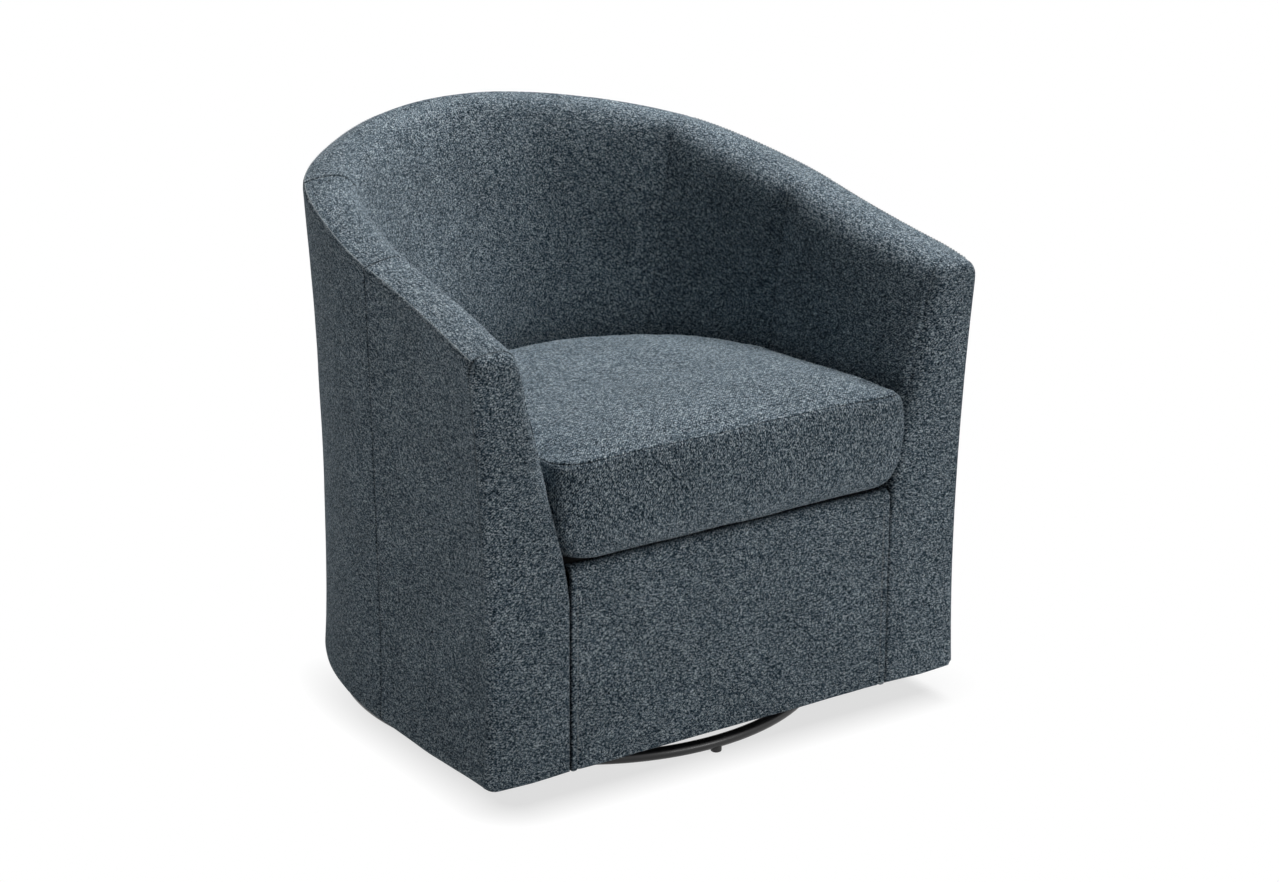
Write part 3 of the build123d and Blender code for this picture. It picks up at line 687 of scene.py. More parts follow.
def arm_front(name, side):
    """Padded front of an arm. The right one mirrors the left one."""
    ups = arm_steps(ARM_FRONT_HIGH, ARM_UP_POINTS)
    across = arm_steps(ARM_FRONT_WIDE, ARM_ACROSS_POINTS)
    outer, arch, full_inner = arm_front_outline(ups)
    inner = drawn_back(full_inner)
    shares = across / across[-1]
    arch = along(arch, across)
    base = outer[0] + (inner[0] - outer[0]) * shares[:, None]
    up = (ups / ups[-1])[:, None, None]
    t = shares[None, :, None]
    sides = outer[:, None] * (1 - t) + inner[:, None] * t
    ends = base[None] * (1 - up) + arch[None] * up
    low_corners = outer[0] * (1 - up) * (1 - t) + inner[0] * (1 - up) * t
    corners = low_corners + outer[-1] * up * (1 - t) + inner[-1] * up * t
    flat = sides + ends - corners
    points = flat.reshape(-1, 2)
    gaps, backs = [], []
    cloth_place = points.copy()
    rolls = (outer, OUTER_ROLL), (arch, ARCH_ROLL), (full_inner, edge_roll(points[:, 1]))
    for edge_line, radius in rolls:
        gap, way = nearest(points, edge_line)
        gaps.append(gap)
        backs.append(np.where(gap < ON_EDGE, FRONT_PAD, rolled(gap, radius)))
        short = radius - np.clip(gap, 0, radius)
        extra = radius * np.arcsin(short / radius) - short + np.where(gap < ON_EDGE, FRONT_PAD - radius, 0)
        cloth_place += way * np.maximum(extra, 0)[:, None]
    backs.append(rolled(points[:, 1] - FRONT_BOTTOM, HEM_ROLL))
    edge_gap = np.minimum.reduce(gaps)
    plump = ARM_PLUMP * (1 - np.exp(-edge_gap / PLUMP_REACH))
    depth = -TUB_FRONT + np.minimum(np.maximum.reduce(backs), FRONT_PAD) - plump
    upright = np.stack([points[:, 0], np.zeros(len(points)), points[:, 1]], 1)
    swell = ripple(upright, SWELL_LENGTHS["arm"], ARM_SWELL, 11 + side)
    depth += swell * fade_in(edge_gap, SIDE_SWELL_REACH)
    share = (depth + TUB_FRONT) / FRONT_PAD
    start, finish = Station(0), Station(FRONT_PAD)
    outward = start.reach(points[:, 1]) - finish.reach(points[:, 1])
    points[:, 0] += outward * share * np.clip(1 - gaps[0] / LEAN_REACH, 0, 1)
    points[:, 1] += (finish.rim - start.rim) * share * np.clip(1 - gaps[1] / LEAN_REACH, 0, 1)
    face = np.stack([points[:, 0], depth, points[:, 1]], 1).reshape(flat.shape[:2] + (3,)).transpose(1, 0, 2)
    uvs = cloth_place.reshape(flat.shape).transpose(1, 0, 2)
    normals = normals_of(face)
    held = (edge_gap < ARM_HELD).reshape(flat.shape[:2]).T
    move = settle(face, wide_steps(across), wide_steps(ups), held, ARM_FRONT_GIVE)
    face = face + move * [0, 1, 0]
    # Painted shade along the arm front's seams: at its inner edge below the deck, and round its outer side
    # and its arch
    dark = np.maximum.reduce([
        painted_seam_shade(np.where(points[:, 1] < DECK_HEIGHT, gaps[2], 1)),
        painted_seam_shade(over_roll(gaps[0], OUTER_ROLL)) * outer_tight(points[:, 1]),
        painted_seam_shade(over_roll(gaps[1], ARCH_ROLL)) * ARCH_TIGHT["first" if side < 0 else "last"],
    ]).reshape(flat.shape[:2]).T
    if side > 0:
        face = face[::-1] * [-1, 1, 1]
        normals = normals[::-1] * [-1, 1, 1]
        uvs = uvs[::-1] * [-1, 1]
        dark = dark[::-1]
    return shell(name, face, uvs, normals, dark)


for node, side in (("arm_front_left", -1), ("arm_front_right", 1)):
    upholster(arm_front(node + "_cloth", side), "seat", 0.8, node)


# Front rail cover: its sides turn in at the front seams, and a seam allowance is stitched down beside them

ALLOWANCE = 0.0095
ALLOWANCE_STEPS = np.array([-0.0045, -0.003, -0.0015, -0.0006, 0.0006, 0.0015])
FRONT_TURN_IN = 0.012
FRONT_TUCK = 0.006
FRONT_TOP_ROLL = 0.010
FRONT_GAP = 0.0003
FRONT_DIP = (0.003, 0.0030)
FOLD_RISE = 0.0010
ROW_DIP = 0.0012
ROW_REACH = 0.0013
# Offset that makes the painted shade along the stitched rows fainter than at the seams
ROW_FAINT = 0.0010
# Points of the cover's section between its hem and its top, where the stitches run
ROW_POINTS = slice(9, -10)


def front_cover(name):
    """The cover, and the lines of its two rows of stitches."""
    across = spaced(2 * FRONT_SEAM - 2 * FRONT_GAP, PANEL_STEP) - FRONT_SEAM + FRONT_GAP
    extra = FRONT_SEAM - ALLOWANCE + ALLOWANCE_STEPS
    across = np.unique(np.concatenate([across, extra, -extra]).round(5))
    turn = np.radians(np.linspace(0, 90, 8))
    low, high = FRONT_BOTTOM + HEM_RADIUS, FRONT_COVER_TOP - FRONT_TOP_ROLL
    top = [FRONT_TOP_ROLL - TUB_FRONT, high] + FRONT_TOP_ROLL * np.stack([-np.cos(turn), np.sin(turn)], 1)
    hem = [HEM_RADIUS - TUB_FRONT, low] - HEM_RADIUS * np.stack([np.sin(turn), np.cos(turn)], 1)
    ups = np.linspace(low, high, 40)[1:-1]
    flat = np.stack([np.full(len(ups), -TUB_FRONT), ups], 1)
    tucked = [[FRONT_TUCK - TUB_FRONT, FRONT_BOTTOM]]
    line = np.concatenate([tucked, hem, flat, top, [[INNER_FRONT, FRONT_COVER_TOP]]])
    run = run_lengths(line)
    face = np.empty((len(across), len(line), 3))
    face[..., 0] = across[:, None]
    face[..., 1:] = line[None]
    normals = normals_of(face)
    edge = FRONT_SEAM - np.abs(across)
    fold = FOLD_RISE * np.clip(1 - np.abs(edge - 0.5 * ALLOWANCE) / (0.5 * ALLOWANCE), 0, 1) ** 0.5
    stitched = -ROW_DIP * np.exp(-(((edge - ALLOWANCE) / ROW_REACH) ** 2))
    out = (fold + stitched - dip(edge, *FRONT_DIP))[:, None]
    out = out + ripple(face, SWELL_LENGTHS["front"], SWELL, 21) * fade_in(edge, SWELL_REACH)[:, None]
    out = out + pucker(run[None, :], np.abs(edge - ALLOWANCE)[:, None], 31)
    face = face + normals * out[..., None]
    lines = []
    for side in (-1, 1):
        column = int(np.argmin(np.abs(across - side * (FRONT_SEAM - ALLOWANCE))))
        lines.append((face[column, ROW_POINTS], normals[column, ROW_POINTS]))
    inward = face[[0, -1]] * [1, 0, 1] + [0, 1, 0] * np.maximum(face[[0, -1]], -TUB_FRONT + FRONT_TURN_IN)
    face = np.concatenate([inward[:1], face, inward[1:]])
    normals = np.concatenate([normals[:1], normals, normals[-1:]])
    across = np.concatenate([across[:1] - FRONT_TURN_IN, across, across[-1:] + FRONT_TURN_IN])
    edge = np.concatenate([[0], edge, [0]])
    # Painted shade at the front seams and, fainter, along the stitched rows
    gaps = np.minimum(edge, np.abs(edge - ALLOWANCE) + ROW_FAINT)
    dark = np.broadcast_to(painted_seam_shade(gaps)[:, None], face.shape[:2])
    uvs = np.stack(np.broadcast_arrays(across[:, None], run[None, :]), -1)
    return shell(name, face, uvs, normals, dark), lines


piece, front_lines = front_cover("front_cover_cloth")
upholster(piece, "seat", 0.8, "front_cover")


# Stitches: short raised threads along a seam

STITCH_PITCH = 0.0052
STITCH_LENGTH = 0.0040
STITCH_RADIUS = 0.00068
STITCH_SIDES = 6
STITCH_POINTS = 7
STITCH_TAPER = 0.92
# How high a stitch stands at its middle, and how far its ends lie below that, as shares of its radius
STITCH_RISE = 0.9
STITCH_SINK = 1.7


def stitches(name, lines):
    """Rows of short stitches along lines on the cloth, each sunk in at its ends."""
    lengthwise = np.linspace(-1, 1, STITCH_POINTS)
    around = np.radians(np.arange(STITCH_SIDES) * 360 / STITCH_SIDES)
    thick = np.sqrt(np.clip(1.0 - STITCH_TAPER * lengthwise**4, 0, 1))[:, None, None]
    rise = (STITCH_RISE - STITCH_SINK * lengthwise**2)[:, None]
    index = np.arange(len(lengthwise) * STITCH_SIDES).reshape(-1, STITCH_SIDES)
    after = np.roll(index, -1, axis=1)
    sides = np.stack([index[:-1], index[1:], after[1:], after[:-1]], -1).reshape(-1, 4)
    verts, faces = [], []
    for points, normals in lines:
        run = run_lengths(points)
        for middle in np.arange(STITCH_PITCH, run[-1] - STITCH_PITCH, STITCH_PITCH):
            spots = middle + lengthwise * STITCH_LENGTH / 2
            centre = between(spots, run, points)
            out = between(middle, run, normals)
            out /= np.linalg.norm(out)
            ahead = centre[-1] - centre[0]
            ahead /= np.linalg.norm(ahead)
            sideways = np.cross(ahead, out)
            turns_out = [sideways * math.cos(angle) + out * math.sin(angle) for angle in around]
            at = (centre + out * rise * STITCH_RADIUS)[:, None]
            first = len(verts) * index.size
            verts.append((at + np.array(turns_out) * STITCH_RADIUS * thick).reshape(-1, 3))
            caps = [(index[0] + first).tolist(), (index[-1, ::-1] + first).tolist()]
            faces += (sides + first).tolist() + caps
    verts = np.concatenate(verts)
    piece = make_piece(name, verts, faces, verts[:, :2])
    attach(piece, "seat")
    return piece


thread_pieces = [stitches("rim_stitches", rim_lines), stitches("front_stitches", front_lines)]


# Seat: deck pad and loose cushion, built from rings that follow the seat's outline

MOST_ROUND = 0.6
LEAST_SIDE = 0.01


def deck_points(x, y, level):
    """Points above the raked deck, given along and square to it."""
    return np.stack([
        x,
        y * math.cos(SEAT_RAKE) + level * math.sin(SEAT_RAKE),
        deck_level(0) - y * math.sin(SEAT_RAKE) + level * math.cos(SEAT_RAKE),
    ], -1)


def seat_ring(half, taper, front, back, level):
    """Outline of the seat at a level above the deck, anticlockwise from its left front corner."""
    wide = half + taper
    left, right = min(LEFT_CORNER, half * MOST_ROUND), min(RIGHT_CORNER, half * MOST_ROUND)
    straight = max(CUSHION_STRAIGHT, front + left + LEAST_SIDE)
    turn = np.radians(np.linspace(0, 90, 13))
    bend = np.radians(np.linspace(0, 180, 80))[1:]
    sides = np.linspace(0, 1, 24)[1:]
    front_x = np.linspace(-wide + left, wide - right, 56)
    right_y, left_y = front + right, front + left
    x = np.concatenate([
        front_x,
        (wide - right + right * np.sin(turn))[1:],
        wide + (half - wide) * sides,
        half * np.cos(bend),
        -half + (half - wide) * sides,
        (-wide + left - left * np.sin(turn))[-2:0:-1],
    ])
    y = np.concatenate([
        np.full(len(front_x), front),
        (right_y - right * np.cos(turn))[1:],
        right_y + (straight - right_y) * sides,
        straight + (back - straight) * np.sin(bend),
        straight + (left_y - straight) * sides,
        (left_y - left * np.cos(turn))[-2:0:-1],
    ])
    return deck_points(x, y, np.full(len(x), level))


def cushion_ring(side_inset, front_inset, level):
    """Outline of the cushion at a level, drawn in from its full size."""
    front = front_inset - TUB_FRONT - CUSHION_OVERHANG - level * math.tan(SEAT_RAKE)
    return seat_ring(CUSHION_HALF - side_inset, CUSHION_TAPER, front, CUSHION_BACK - side_inset, level)


# Share of the boxing's depth, then how much of the draw its sides and its front take there
BOXING_DRAWS = [
    (0, 1, 0.6), (0.03, 0.76, 0.34), (0.08, 0.53, 0.15), (0.25, 0.2, 0), (0.5, 0.05, -0.1),
    (0.75, -0.02, -0.04), (0.88, 0, 0.03), (0.95, 0.06, 0.1), (1, 0.16, 0.22),
]
# Share of the crown's height, then how far in it reaches there as a share of the half width
CROWN_DRAWS = [
    (0, 0.024), (0.13, 0.042), (0.28, 0.078), (0.5, 0.16), (0.7, 0.265),
    (0.85, 0.4), (0.94, 0.54), (1, 0.7), (1.02, 0.86),
]
# How far in the rings under the cushion reach, as shares of the half width
LOW_DRAWS = [0.9, 0.6, 0.3, 0.12]
BOXING_STEP = 0.008
CROWN_STEP = 0.009
SMOOTH_STEPS = 12
CUSHION_HELD = 0.004
CUSHION_PUCKER = 0.7
# Slow waves of the cushion's seam and of its lower edge, each with its height, length and reach
SEAM_WAVE, SEAM_WAVE_LENGTH, SEAM_WAVE_REACH = 0.0013, 0.075, 0.035
SLUMP, SLUMP_LENGTH, SLUMP_REACH = 0.0022, 0.11, 0.03
SLUMP_PLACE = Vector((5, 3, 9))
SLUMP_RANGE = (-0.4, 1)
DROOP_HEIGHT = 0.045


def ringed(lines, distances):
    """Grid of points at distances along the smooth lines that run up through a stack of rings."""
    return np.stack([along(smoothed(line, SMOOTH_STEPS), distances) for line in lines])


def ring_normals(grid):
    """Normals of a grid that closes round on itself."""
    closed = np.concatenate([grid[-2:], grid, grid[:2]])
    return normals_of(closed)[2:-2]


def capped(rings):
    """Points of a stack of rings, the faces between them, and the fans of triangles that close its ends."""
    around, columns = rings.shape[:2]
    verts = np.concatenate([rings.reshape(-1, 3), [rings[:, 0].mean(0), rings[:, -1].mean(0)]])
    starts = np.arange(around) * columns
    after = np.roll(starts, -1)
    low = np.full(around, around * columns)
    low_fan = np.stack([low, after, starts], 1)
    top_fan = np.stack([low + 1, starts + columns - 1, after + columns - 1], 1)
    return verts, grid_quads(around, columns, closed=True), np.concatenate([low_fan, top_fan])


def cushion(name):
    """Boxed cushion: rings under it, its boxing up to the seam, and its crown."""
    boxing_rings = np.stack([
        cushion_ring(side * CUSHION_DRAW, front * CUSHION_DRAW, CUSHION_LOW + CUSHION_HEIGHT * share)
        for share, side, front in BOXING_DRAWS
    ], 1)
    seam_level = CUSHION_LOW + CUSHION_HEIGHT
    crown_rings = np.stack([
        cushion_ring(draw * CUSHION_HALF, draw * CUSHION_HALF, seam_level + CUSHION_CROWN * share)
        for share, draw in CROWN_DRAWS
    ], 1)
    crown_rings[:, 0] = boxing_rings[:, -1]
    around = len(boxing_rings)
    boxing_length, crown_length = mean_length(boxing_rings), mean_length(crown_rings)
    heights = spaced(boxing_length, BOXING_STEP, lead=False)
    inwards = spaced(crown_length, CROWN_STEP, tail=False)
    boxing, crown = ringed(boxing_rings, heights), ringed(crown_rings, inwards)
    edge = boxing[:, -1]
    girth = run_lengths(np.concatenate([edge, edge[:1]]))
    low_corner = edge[np.argmax(edge[:, 0] - edge[:, 1])]
    droop = CORNER_DROOP * np.exp(-((edge - low_corner)[:, :2] ** 2).sum(1) / DROOP_REACH**2)
    wave = np.array([noise.noise(point / SEAM_WAVE_LENGTH) for point in map(Vector, edge)])
    slump = np.array([noise.noise(point / SLUMP_LENGTH + SLUMP_PLACE) for point in map(Vector, edge)])
    moved = []
    for part, steps, from_seam, from_end, seed in (
        (boxing, heights, boxing_length - heights, heights, 41),
        (crown, inwards, inwards, crown_length - inwards, 42),
    ):
        normals = ring_normals(part)
        gaps = np.broadcast_to(from_seam[None, :], part.shape[:2])
        held = (gaps < CUSHION_HELD) | (from_end < CUSHION_HELD)[None, :]
        move = settle(part, np.arange(around), wide_steps(steps), held, CUSHION_GIVE, closed=True)
        out = (move * normals).sum(2) - dip(gaps)
        out = out + pucker(girth[:-1, None], gaps, seed) * CUSHION_PUCKER
        out = out + ripple(part, SWELL_LENGTHS["cushion"], SWELL, seed) * fade_in(gaps, SWELL_REACH)
        part = part + normals * out[..., None]
        part[..., 2] += SEAM_WAVE * wave[:, None] * np.exp(-((gaps / SEAM_WAVE_REACH) ** 2))
        part[..., 2] -= droop[:, None] * np.exp(-((gaps / DROOP_HEIGHT) ** 2))
        moved.append(part)
    boxing, crown = moved
    low_edge = np.exp(-((heights / SLUMP_REACH) ** 2))[None, :]
    boxing[..., 2] += SLUMP * np.clip(slump, *SLUMP_RANGE)[:, None] * low_edge
    crown[:, 0] = boxing[:, -1]
    low_rings = np.stack([
        cushion_ring(draw * CUSHION_HALF, draw * CUSHION_HALF, CUSHION_LOW) for draw in LOW_DRAWS
    ], 1)
    sheets = np.concatenate([low_rings, boxing, crown[:, 1:]], 1)
    columns = sheets.shape[1]
    verts, quads, fans = capped(sheets)
    panel = verts[:, :2]
    column_of = np.tile(np.arange(columns - 1), around)
    low_count = len(LOW_DRAWS)
    seam_count = low_count + len(heights)
    on_boxing = (column_of >= low_count) & (column_of < seam_count - 1)
    up = np.zeros(columns)
    up[low_count:seam_count] = heights
    strip = np.zeros((len(verts), 2))
    strip[: around * columns, 0] = np.tile(up, around)
    strip[: around * columns, 1] = np.repeat(girth[:-1], columns)
    corners = np.where(on_boxing[:, None, None], strip[quads], panel[quads])
    last_row = slice(1 - columns, None)
    closing = on_boxing[last_row, None] & (quads[last_row] < columns)
    corners[last_row, :, 1] = np.where(closing, girth[-1], corners[last_row, :, 1])
    uvs = np.concatenate([corners.reshape(-1, 2), panel[fans].reshape(-1, 2)])
    # Painted shade along the cushion's seam, on both sides of it
    gaps = np.full((around, columns), 1.0)
    gaps[:, low_count:seam_count] = boxing_length - heights
    gaps[:, seam_count:] = inwards[1:]
    dark = np.concatenate([painted_seam_shade(gaps).ravel() * CUSHION_SEAM_SHADE, [0, 0]])
    return make_piece(name, verts, quads.tolist() + fans.tolist(), uvs, dark)


upholster(cushion("seat_cushion"), "cushion", 0.75, "cushion_cover", "cushion_core")


# Deck pad, and how far in its rings reach under it and over it

PAD_UNDER = [0.2, 0.08, 0.03]
PAD_OVER = [0.02, 0.04, 0.07, 0.1, 0.14, 0.18, 0.21]
PAD_FRONT = INNER_FRONT + 0.003
PAD_SAG = 0.0012


def deck_pad(name):
    """Quilted pad over the webbing, rounded at its edges."""
    turn = np.radians(np.linspace(-90, 90, 13))
    radius = (PAD_TOP - PAD_LOW) / 2
    insets = np.concatenate([PAD_UNDER, radius - radius * np.cos(turn), PAD_OVER])
    edge = PAD_LOW + radius + radius * np.sin(turn)
    levels = np.concatenate([[PAD_LOW] * len(PAD_UNDER), edge, [PAD_TOP] * len(PAD_OVER)])
    rings = np.stack([
        seat_ring(SEAT_HALF - inset, 0, PAD_FRONT + inset, CUSHION_BACK - inset, level)
        for inset, level in zip(insets, levels)
    ], 1)
    top = fade_in(levels - PAD_LOW - radius, radius)
    rings[..., 2] -= (PAD_SAG + ripple(rings, SWELL_LENGTHS["pad"], SWELL, 51)) * top
    verts, quads, fans = capped(rings)
    return make_piece(name, verts, quads.tolist() + fans.tolist(), verts[:, :2])


piece = deck_pad("deck_pad_cloth")
cover(piece, "seat", "lining", "deck_pad")


# Dust cover: thin cloth stapled under the frame, with a square hole for the swivel

DUST_THICKNESS = 0.0008
DUST_FRONT = INNER_FRONT + 0.0003
DUST_SAG = 0.0011
DUST_SWELL = 0.5


def dust_cover(name):
    """The sheet, its cut size and its cut area."""
    half = HALF_WIDTH - DUST_INSET
    depth = CURVE_DEPTH - DUST_INSET
    outline, hole = [], []
    for angle in np.linspace(-math.pi, math.pi, 241)[:-1]:
        way = np.array([math.cos(angle), math.sin(angle)])
        hole.append(way * DUST_HOLE / 2 / max(abs(way)))
        reach = half / max(abs(way[0]), 1e-9)
        if way[1] < 0:
            reach = min(reach, DUST_FRONT / way[1])
        a = (way[0] / half) ** 2 + (way[1] / depth) ** 2
        b = -2 * way[1] * CURVE_START / depth**2
        c = (CURVE_START / depth) ** 2 - 1
        curved = (-b + math.sqrt(b * b - 4 * a * c)) / (2 * a)
        if way[1] * curved > CURVE_START:
            reach = curved
        outline.append(way * reach)
    outline, hole = np.array(outline), np.array(hole)
    shares = np.linspace(0, 1, 13)
    flat = hole[:, None] + (outline - hole)[:, None] * shares[None, :, None]
    area = 0.0
    for line, sign in ((outline, 1), (hole, -1)):
        ahead = np.roll(line, -1, axis=0)
        area += sign * 0.5 * float((line[:, 0] * ahead[:, 1] - line[:, 1] * ahead[:, 0]).sum())
    sag = DUST_SAG * np.sin(math.pi * shares)[None, :]
    low = np.concatenate([flat, np.full(flat.shape[:2] + (1,), TUB_BOTTOM)], 2)
    low[..., 2] -= sag * (1 + ripple(low, SWELL_LENGTHS["dust"], DUST_SWELL, 61))
    around, columns = low.shape[:2]
    count = around * columns
    quads = grid_quads(around, columns, closed=True)
    index = np.arange(count).reshape(around, columns)
    after = np.roll(index, -1, axis=0)
    inner_edge = np.stack([index[:, 0], after[:, 0], after[:, 0] + count, index[:, 0] + count], 1)
    outer_edge = np.stack([after[:, -1], index[:, -1], index[:, -1] + count, after[:, -1] + count], 1)
    faces = np.concatenate([quads, quads[:, ::-1] + count, inner_edge, outer_edge])
    verts = np.concatenate([low.reshape(-1, 3), low.reshape(-1, 3) + [0, 0, DUST_THICKNESS]])
    size = outline.max(0) - outline.min(0)
    return make_piece(name, verts, faces.tolist(), verts[:, :2]), size, area


piece, cut_size, cut_area = dust_cover("dust_cover_cloth")
cover(piece, "seat", "lining", "dust_cover")


# Materials

class Nodes:
    """Short names for building a node tree."""

    def __init__(self, tree):
        self.tree = tree

    def feed(self, node, inputs):
        """Sets inputs of a node, each to a plain value or to what another node gives."""
        for key, value in dict(inputs).items():
            if isinstance(value, bpy.types.NodeSocket):
                self.tree.links.new(value, node.inputs[key])
            else:
                node.inputs[key].default_value = value

    def add(self, kind, inputs=(), **settings):
        node = self.tree.nodes.new(kind)
        for key, value in settings.items():
            setattr(node, key, value)
        self.feed(node, inputs)
        return node

    def value(self, kind, inputs=(), **settings):
        """What a new node gives first."""
        return self.add(kind, inputs, **settings).outputs[0]

    def math(self, operation, a, b=0.0, c=0.0):
        return self.value("ShaderNodeMath", {0: a, 1: b, 2: c}, operation=operation)

    def ranged(self, value, low, high, to_low, to_high):
        return self.value("ShaderNodeMapRange", {0: value, 1: low, 2: high, 3: to_low, 4: to_high})

    def noise(self, place, scale, detail=2.0, roughness=0.5):
        inputs = {"Vector": place, "Scale": scale, "Detail": detail, "Roughness": roughness}
        return self.value("ShaderNodeTexNoise", inputs)

    def ramp(self, value, stops):
        node = self.add("ShaderNodeValToRGB", {0: value})
        elements = node.color_ramp.elements
        while len(elements) < len(stops):
            elements.new(0.5)
        for element, (place, colour) in zip(elements, stops):
            element.position = place
            element.color = (*colour, 1)
        return node.outputs[0]

    def shaded(self, colour, factor):
        """A colour made lighter or darker by a factor."""
        grey = self.value("ShaderNodeCombineXYZ", {0: factor, 1: factor, 2: factor})
        inputs = {0: 1.0, 6: colour, 7: grey}
        return self.add("ShaderNodeMix", inputs, data_type="RGBA", blend_type="MULTIPLY").outputs[2]

    def bump(self, height, strength, distance):
        inputs = {"Strength": strength, "Distance": distance, "Height": height}
        return self.value("ShaderNodeBump", inputs)


def new_material(name):
    """A material, the maker of its nodes and its shader."""
    material = bpy.data.materials.new(name)
    material.use_nodes = True
    return material, Nodes(material.node_tree), material.node_tree.nodes["Principled BSDF"]


def thread_shade(n, along_thread, across_thread):
    """A random shade for each short length of each thread."""
    row = n.math("FLOOR", n.math("DIVIDE", across_thread, THREAD_PITCH))
    shift = n.value("ShaderNodeTexWhiteNoise", {"W": row}, noise_dimensions="1D")
    start = n.math("MULTIPLY", shift, THREAD_SHIFT)
    place = n.math("ADD", n.math("DIVIDE", along_thread, THREAD_LENGTH), start)
    cell = n.value("ShaderNodeCombineXYZ", {0: n.math("FLOOR", place), 1: row})
    return n.value("ShaderNodeTexWhiteNoise", {"Vector": cell}, noise_dimensions="2D")


# The weave, in millimetres, and how much each kind of unevenness adds to its shade
THREAD_LENGTH = 2.0
THREAD_PITCH = 0.90
THREAD_SHIFT = 17.0
WANDER_SCALE = 0.21
WANDER = (2.0, -1.7)
TWILL_PERIOD = 3.7
WEFT_SHARE, WARP_SHARE = 0.64, 0.36
FIBRE_SCALE = 1.25
FIBRE_SHARE = 0.55
TWILL_SHARE = 0.20
SLUB_STRETCH = (0.05, 0.75)
SLUB_RANGE = (0.60, 0.8)
SLUB_SHARE = 0.30
CLOUD_SCALE = 0.012
CLOUD_SHADES = (0.90, 1.10)
TWILL_BUMP = (0.25, 0.0005)
# Colours of the threads, from the darkest shade to the lightest
THREAD_COLOURS = [
    (0.16, (0.005, 0.011, 0.017)),
    (0.37, (0.033, 0.056, 0.077)),
    (0.54, (0.107, 0.150, 0.186)),
    (0.72, (0.284, 0.352, 0.402)),
    (0.92, (0.680, 0.760, 0.800)),
]
# How dark the painted shade deepest in a seam makes the cloth
SEAM_SHADE = 0.3


def upholstery():
    """Heathered slate twill, with painted shade along its seams. The weave follows the cloth's own
    coordinates, in millimetres.
    """
    material, n, shader = new_material("upholstery_twill")
    parts = n.add("ShaderNodeSeparateXYZ", {0: n.value("ShaderNodeUVMap", uv_map=UV_NAME)})
    x, y = [n.math("MULTIPLY", parts.outputs[k], 1000.0) for k in (0, 1)]
    both = n.value("ShaderNodeCombineXYZ", {0: x, 1: y})
    wander = n.math("SUBTRACT", n.noise(both, WANDER_SCALE), 0.5)
    x, y = [n.math("MULTIPLY_ADD", wander, much, way) for much, way in zip(WANDER, (x, y))]
    weft = thread_shade(n, x, y)
    warp = thread_shade(n, y, x)
    line = n.math("FRACT", n.math("DIVIDE", n.math("SUBTRACT", x, y), TWILL_PERIOD))
    twill = n.math("PINGPONG", n.math("MULTIPLY", line, 2.0), 1.0)
    thread = n.math("MULTIPLY_ADD", weft, WEFT_SHARE, n.math("MULTIPLY", warp, WARP_SHARE))
    fibre = n.math("SUBTRACT", n.noise(both, FIBRE_SCALE, 1.0), 0.5)
    drawn = [n.math("MULTIPLY", way, stretch) for way, stretch in zip((x, y), SLUB_STRETCH)]
    slub = n.noise(n.value("ShaderNodeCombineXYZ", {0: drawn[0], 1: drawn[1]}), 1.0, 1.0)
    value = n.math("MULTIPLY_ADD", fibre, FIBRE_SHARE, thread)
    value = n.math("ADD", value, n.ranged(slub, *SLUB_RANGE, 0.0, SLUB_SHARE))
    value = n.math("MULTIPLY_ADD", n.math("SUBTRACT", twill, 0.5), TWILL_SHARE, value)
    cloud = n.ranged(n.noise(both, CLOUD_SCALE, 3.0), 0.3, 0.7, *CLOUD_SHADES)
    # Painted shade along the seams darkens the cloth's colour
    seam = n.add("ShaderNodeAttribute", attribute_name=SEAM_NAME).outputs["Fac"]
    colour = n.shaded(n.ramp(value, THREAD_COLOURS), cloud)
    height = n.math("MULTIPLY_ADD", twill, 0.5, n.math("MULTIPLY", thread, 0.5))
    n.feed(shader, {
        "Base Color": n.shaded(colour, n.ranged(seam, 0.0, 1.0, 1.0, SEAM_SHADE)),
        "Normal": n.bump(height, *TWILL_BUMP),
        "Roughness": 0.92,
        "Specular IOR Level": 0.10,
        "Sheen Weight": 0.12,
        "Sheen Roughness": 0.5,
        "Sheen Tint": (0.75, 0.84, 0.9, 1),
    })
    return material


# Other materials: how much finer their grain is than their patches, its depth and the spread of the gloss
GRAIN_FINER = 24
GRAIN_DEPTH = 0.0003
GLOSS_SPREAD = 0.07
# Plain weaves: shares of the weave and of its fuzz in their colour, the fuzz's scale and the bump
WEAVE_SHARE, FUZZ_SHARE = 0.6, 0.4
FUZZ_SCALE = 700.0
WEAVE_BUMP = (0.6, 0.0005)


def plain_material(name, stops, scale, rough, bump, metal=0.0, stretch=(1.0, 1.0, 1.0)):
    """Material of uneven colour with its own grain, placed by the object's coordinates."""
    material, n, shader = new_material(name)
    place = n.add("ShaderNodeTexCoord").outputs["Object"]
    drawn = n.value("ShaderNodeMapping", {"Vector": place, "Scale": stretch})
    broad = n.noise(drawn, scale, 4.0, 0.6)
    fine = n.noise(drawn, scale * GRAIN_FINER)
    n.feed(shader, {
        "Base Color": n.ramp(broad, stops),
        "Roughness": n.ranged(broad, 0.3, 0.7, rough - GLOSS_SPREAD, rough + GLOSS_SPREAD),
        "Normal": n.bump(fine, bump, GRAIN_DEPTH),
        "Metallic": metal,
    })
    return material


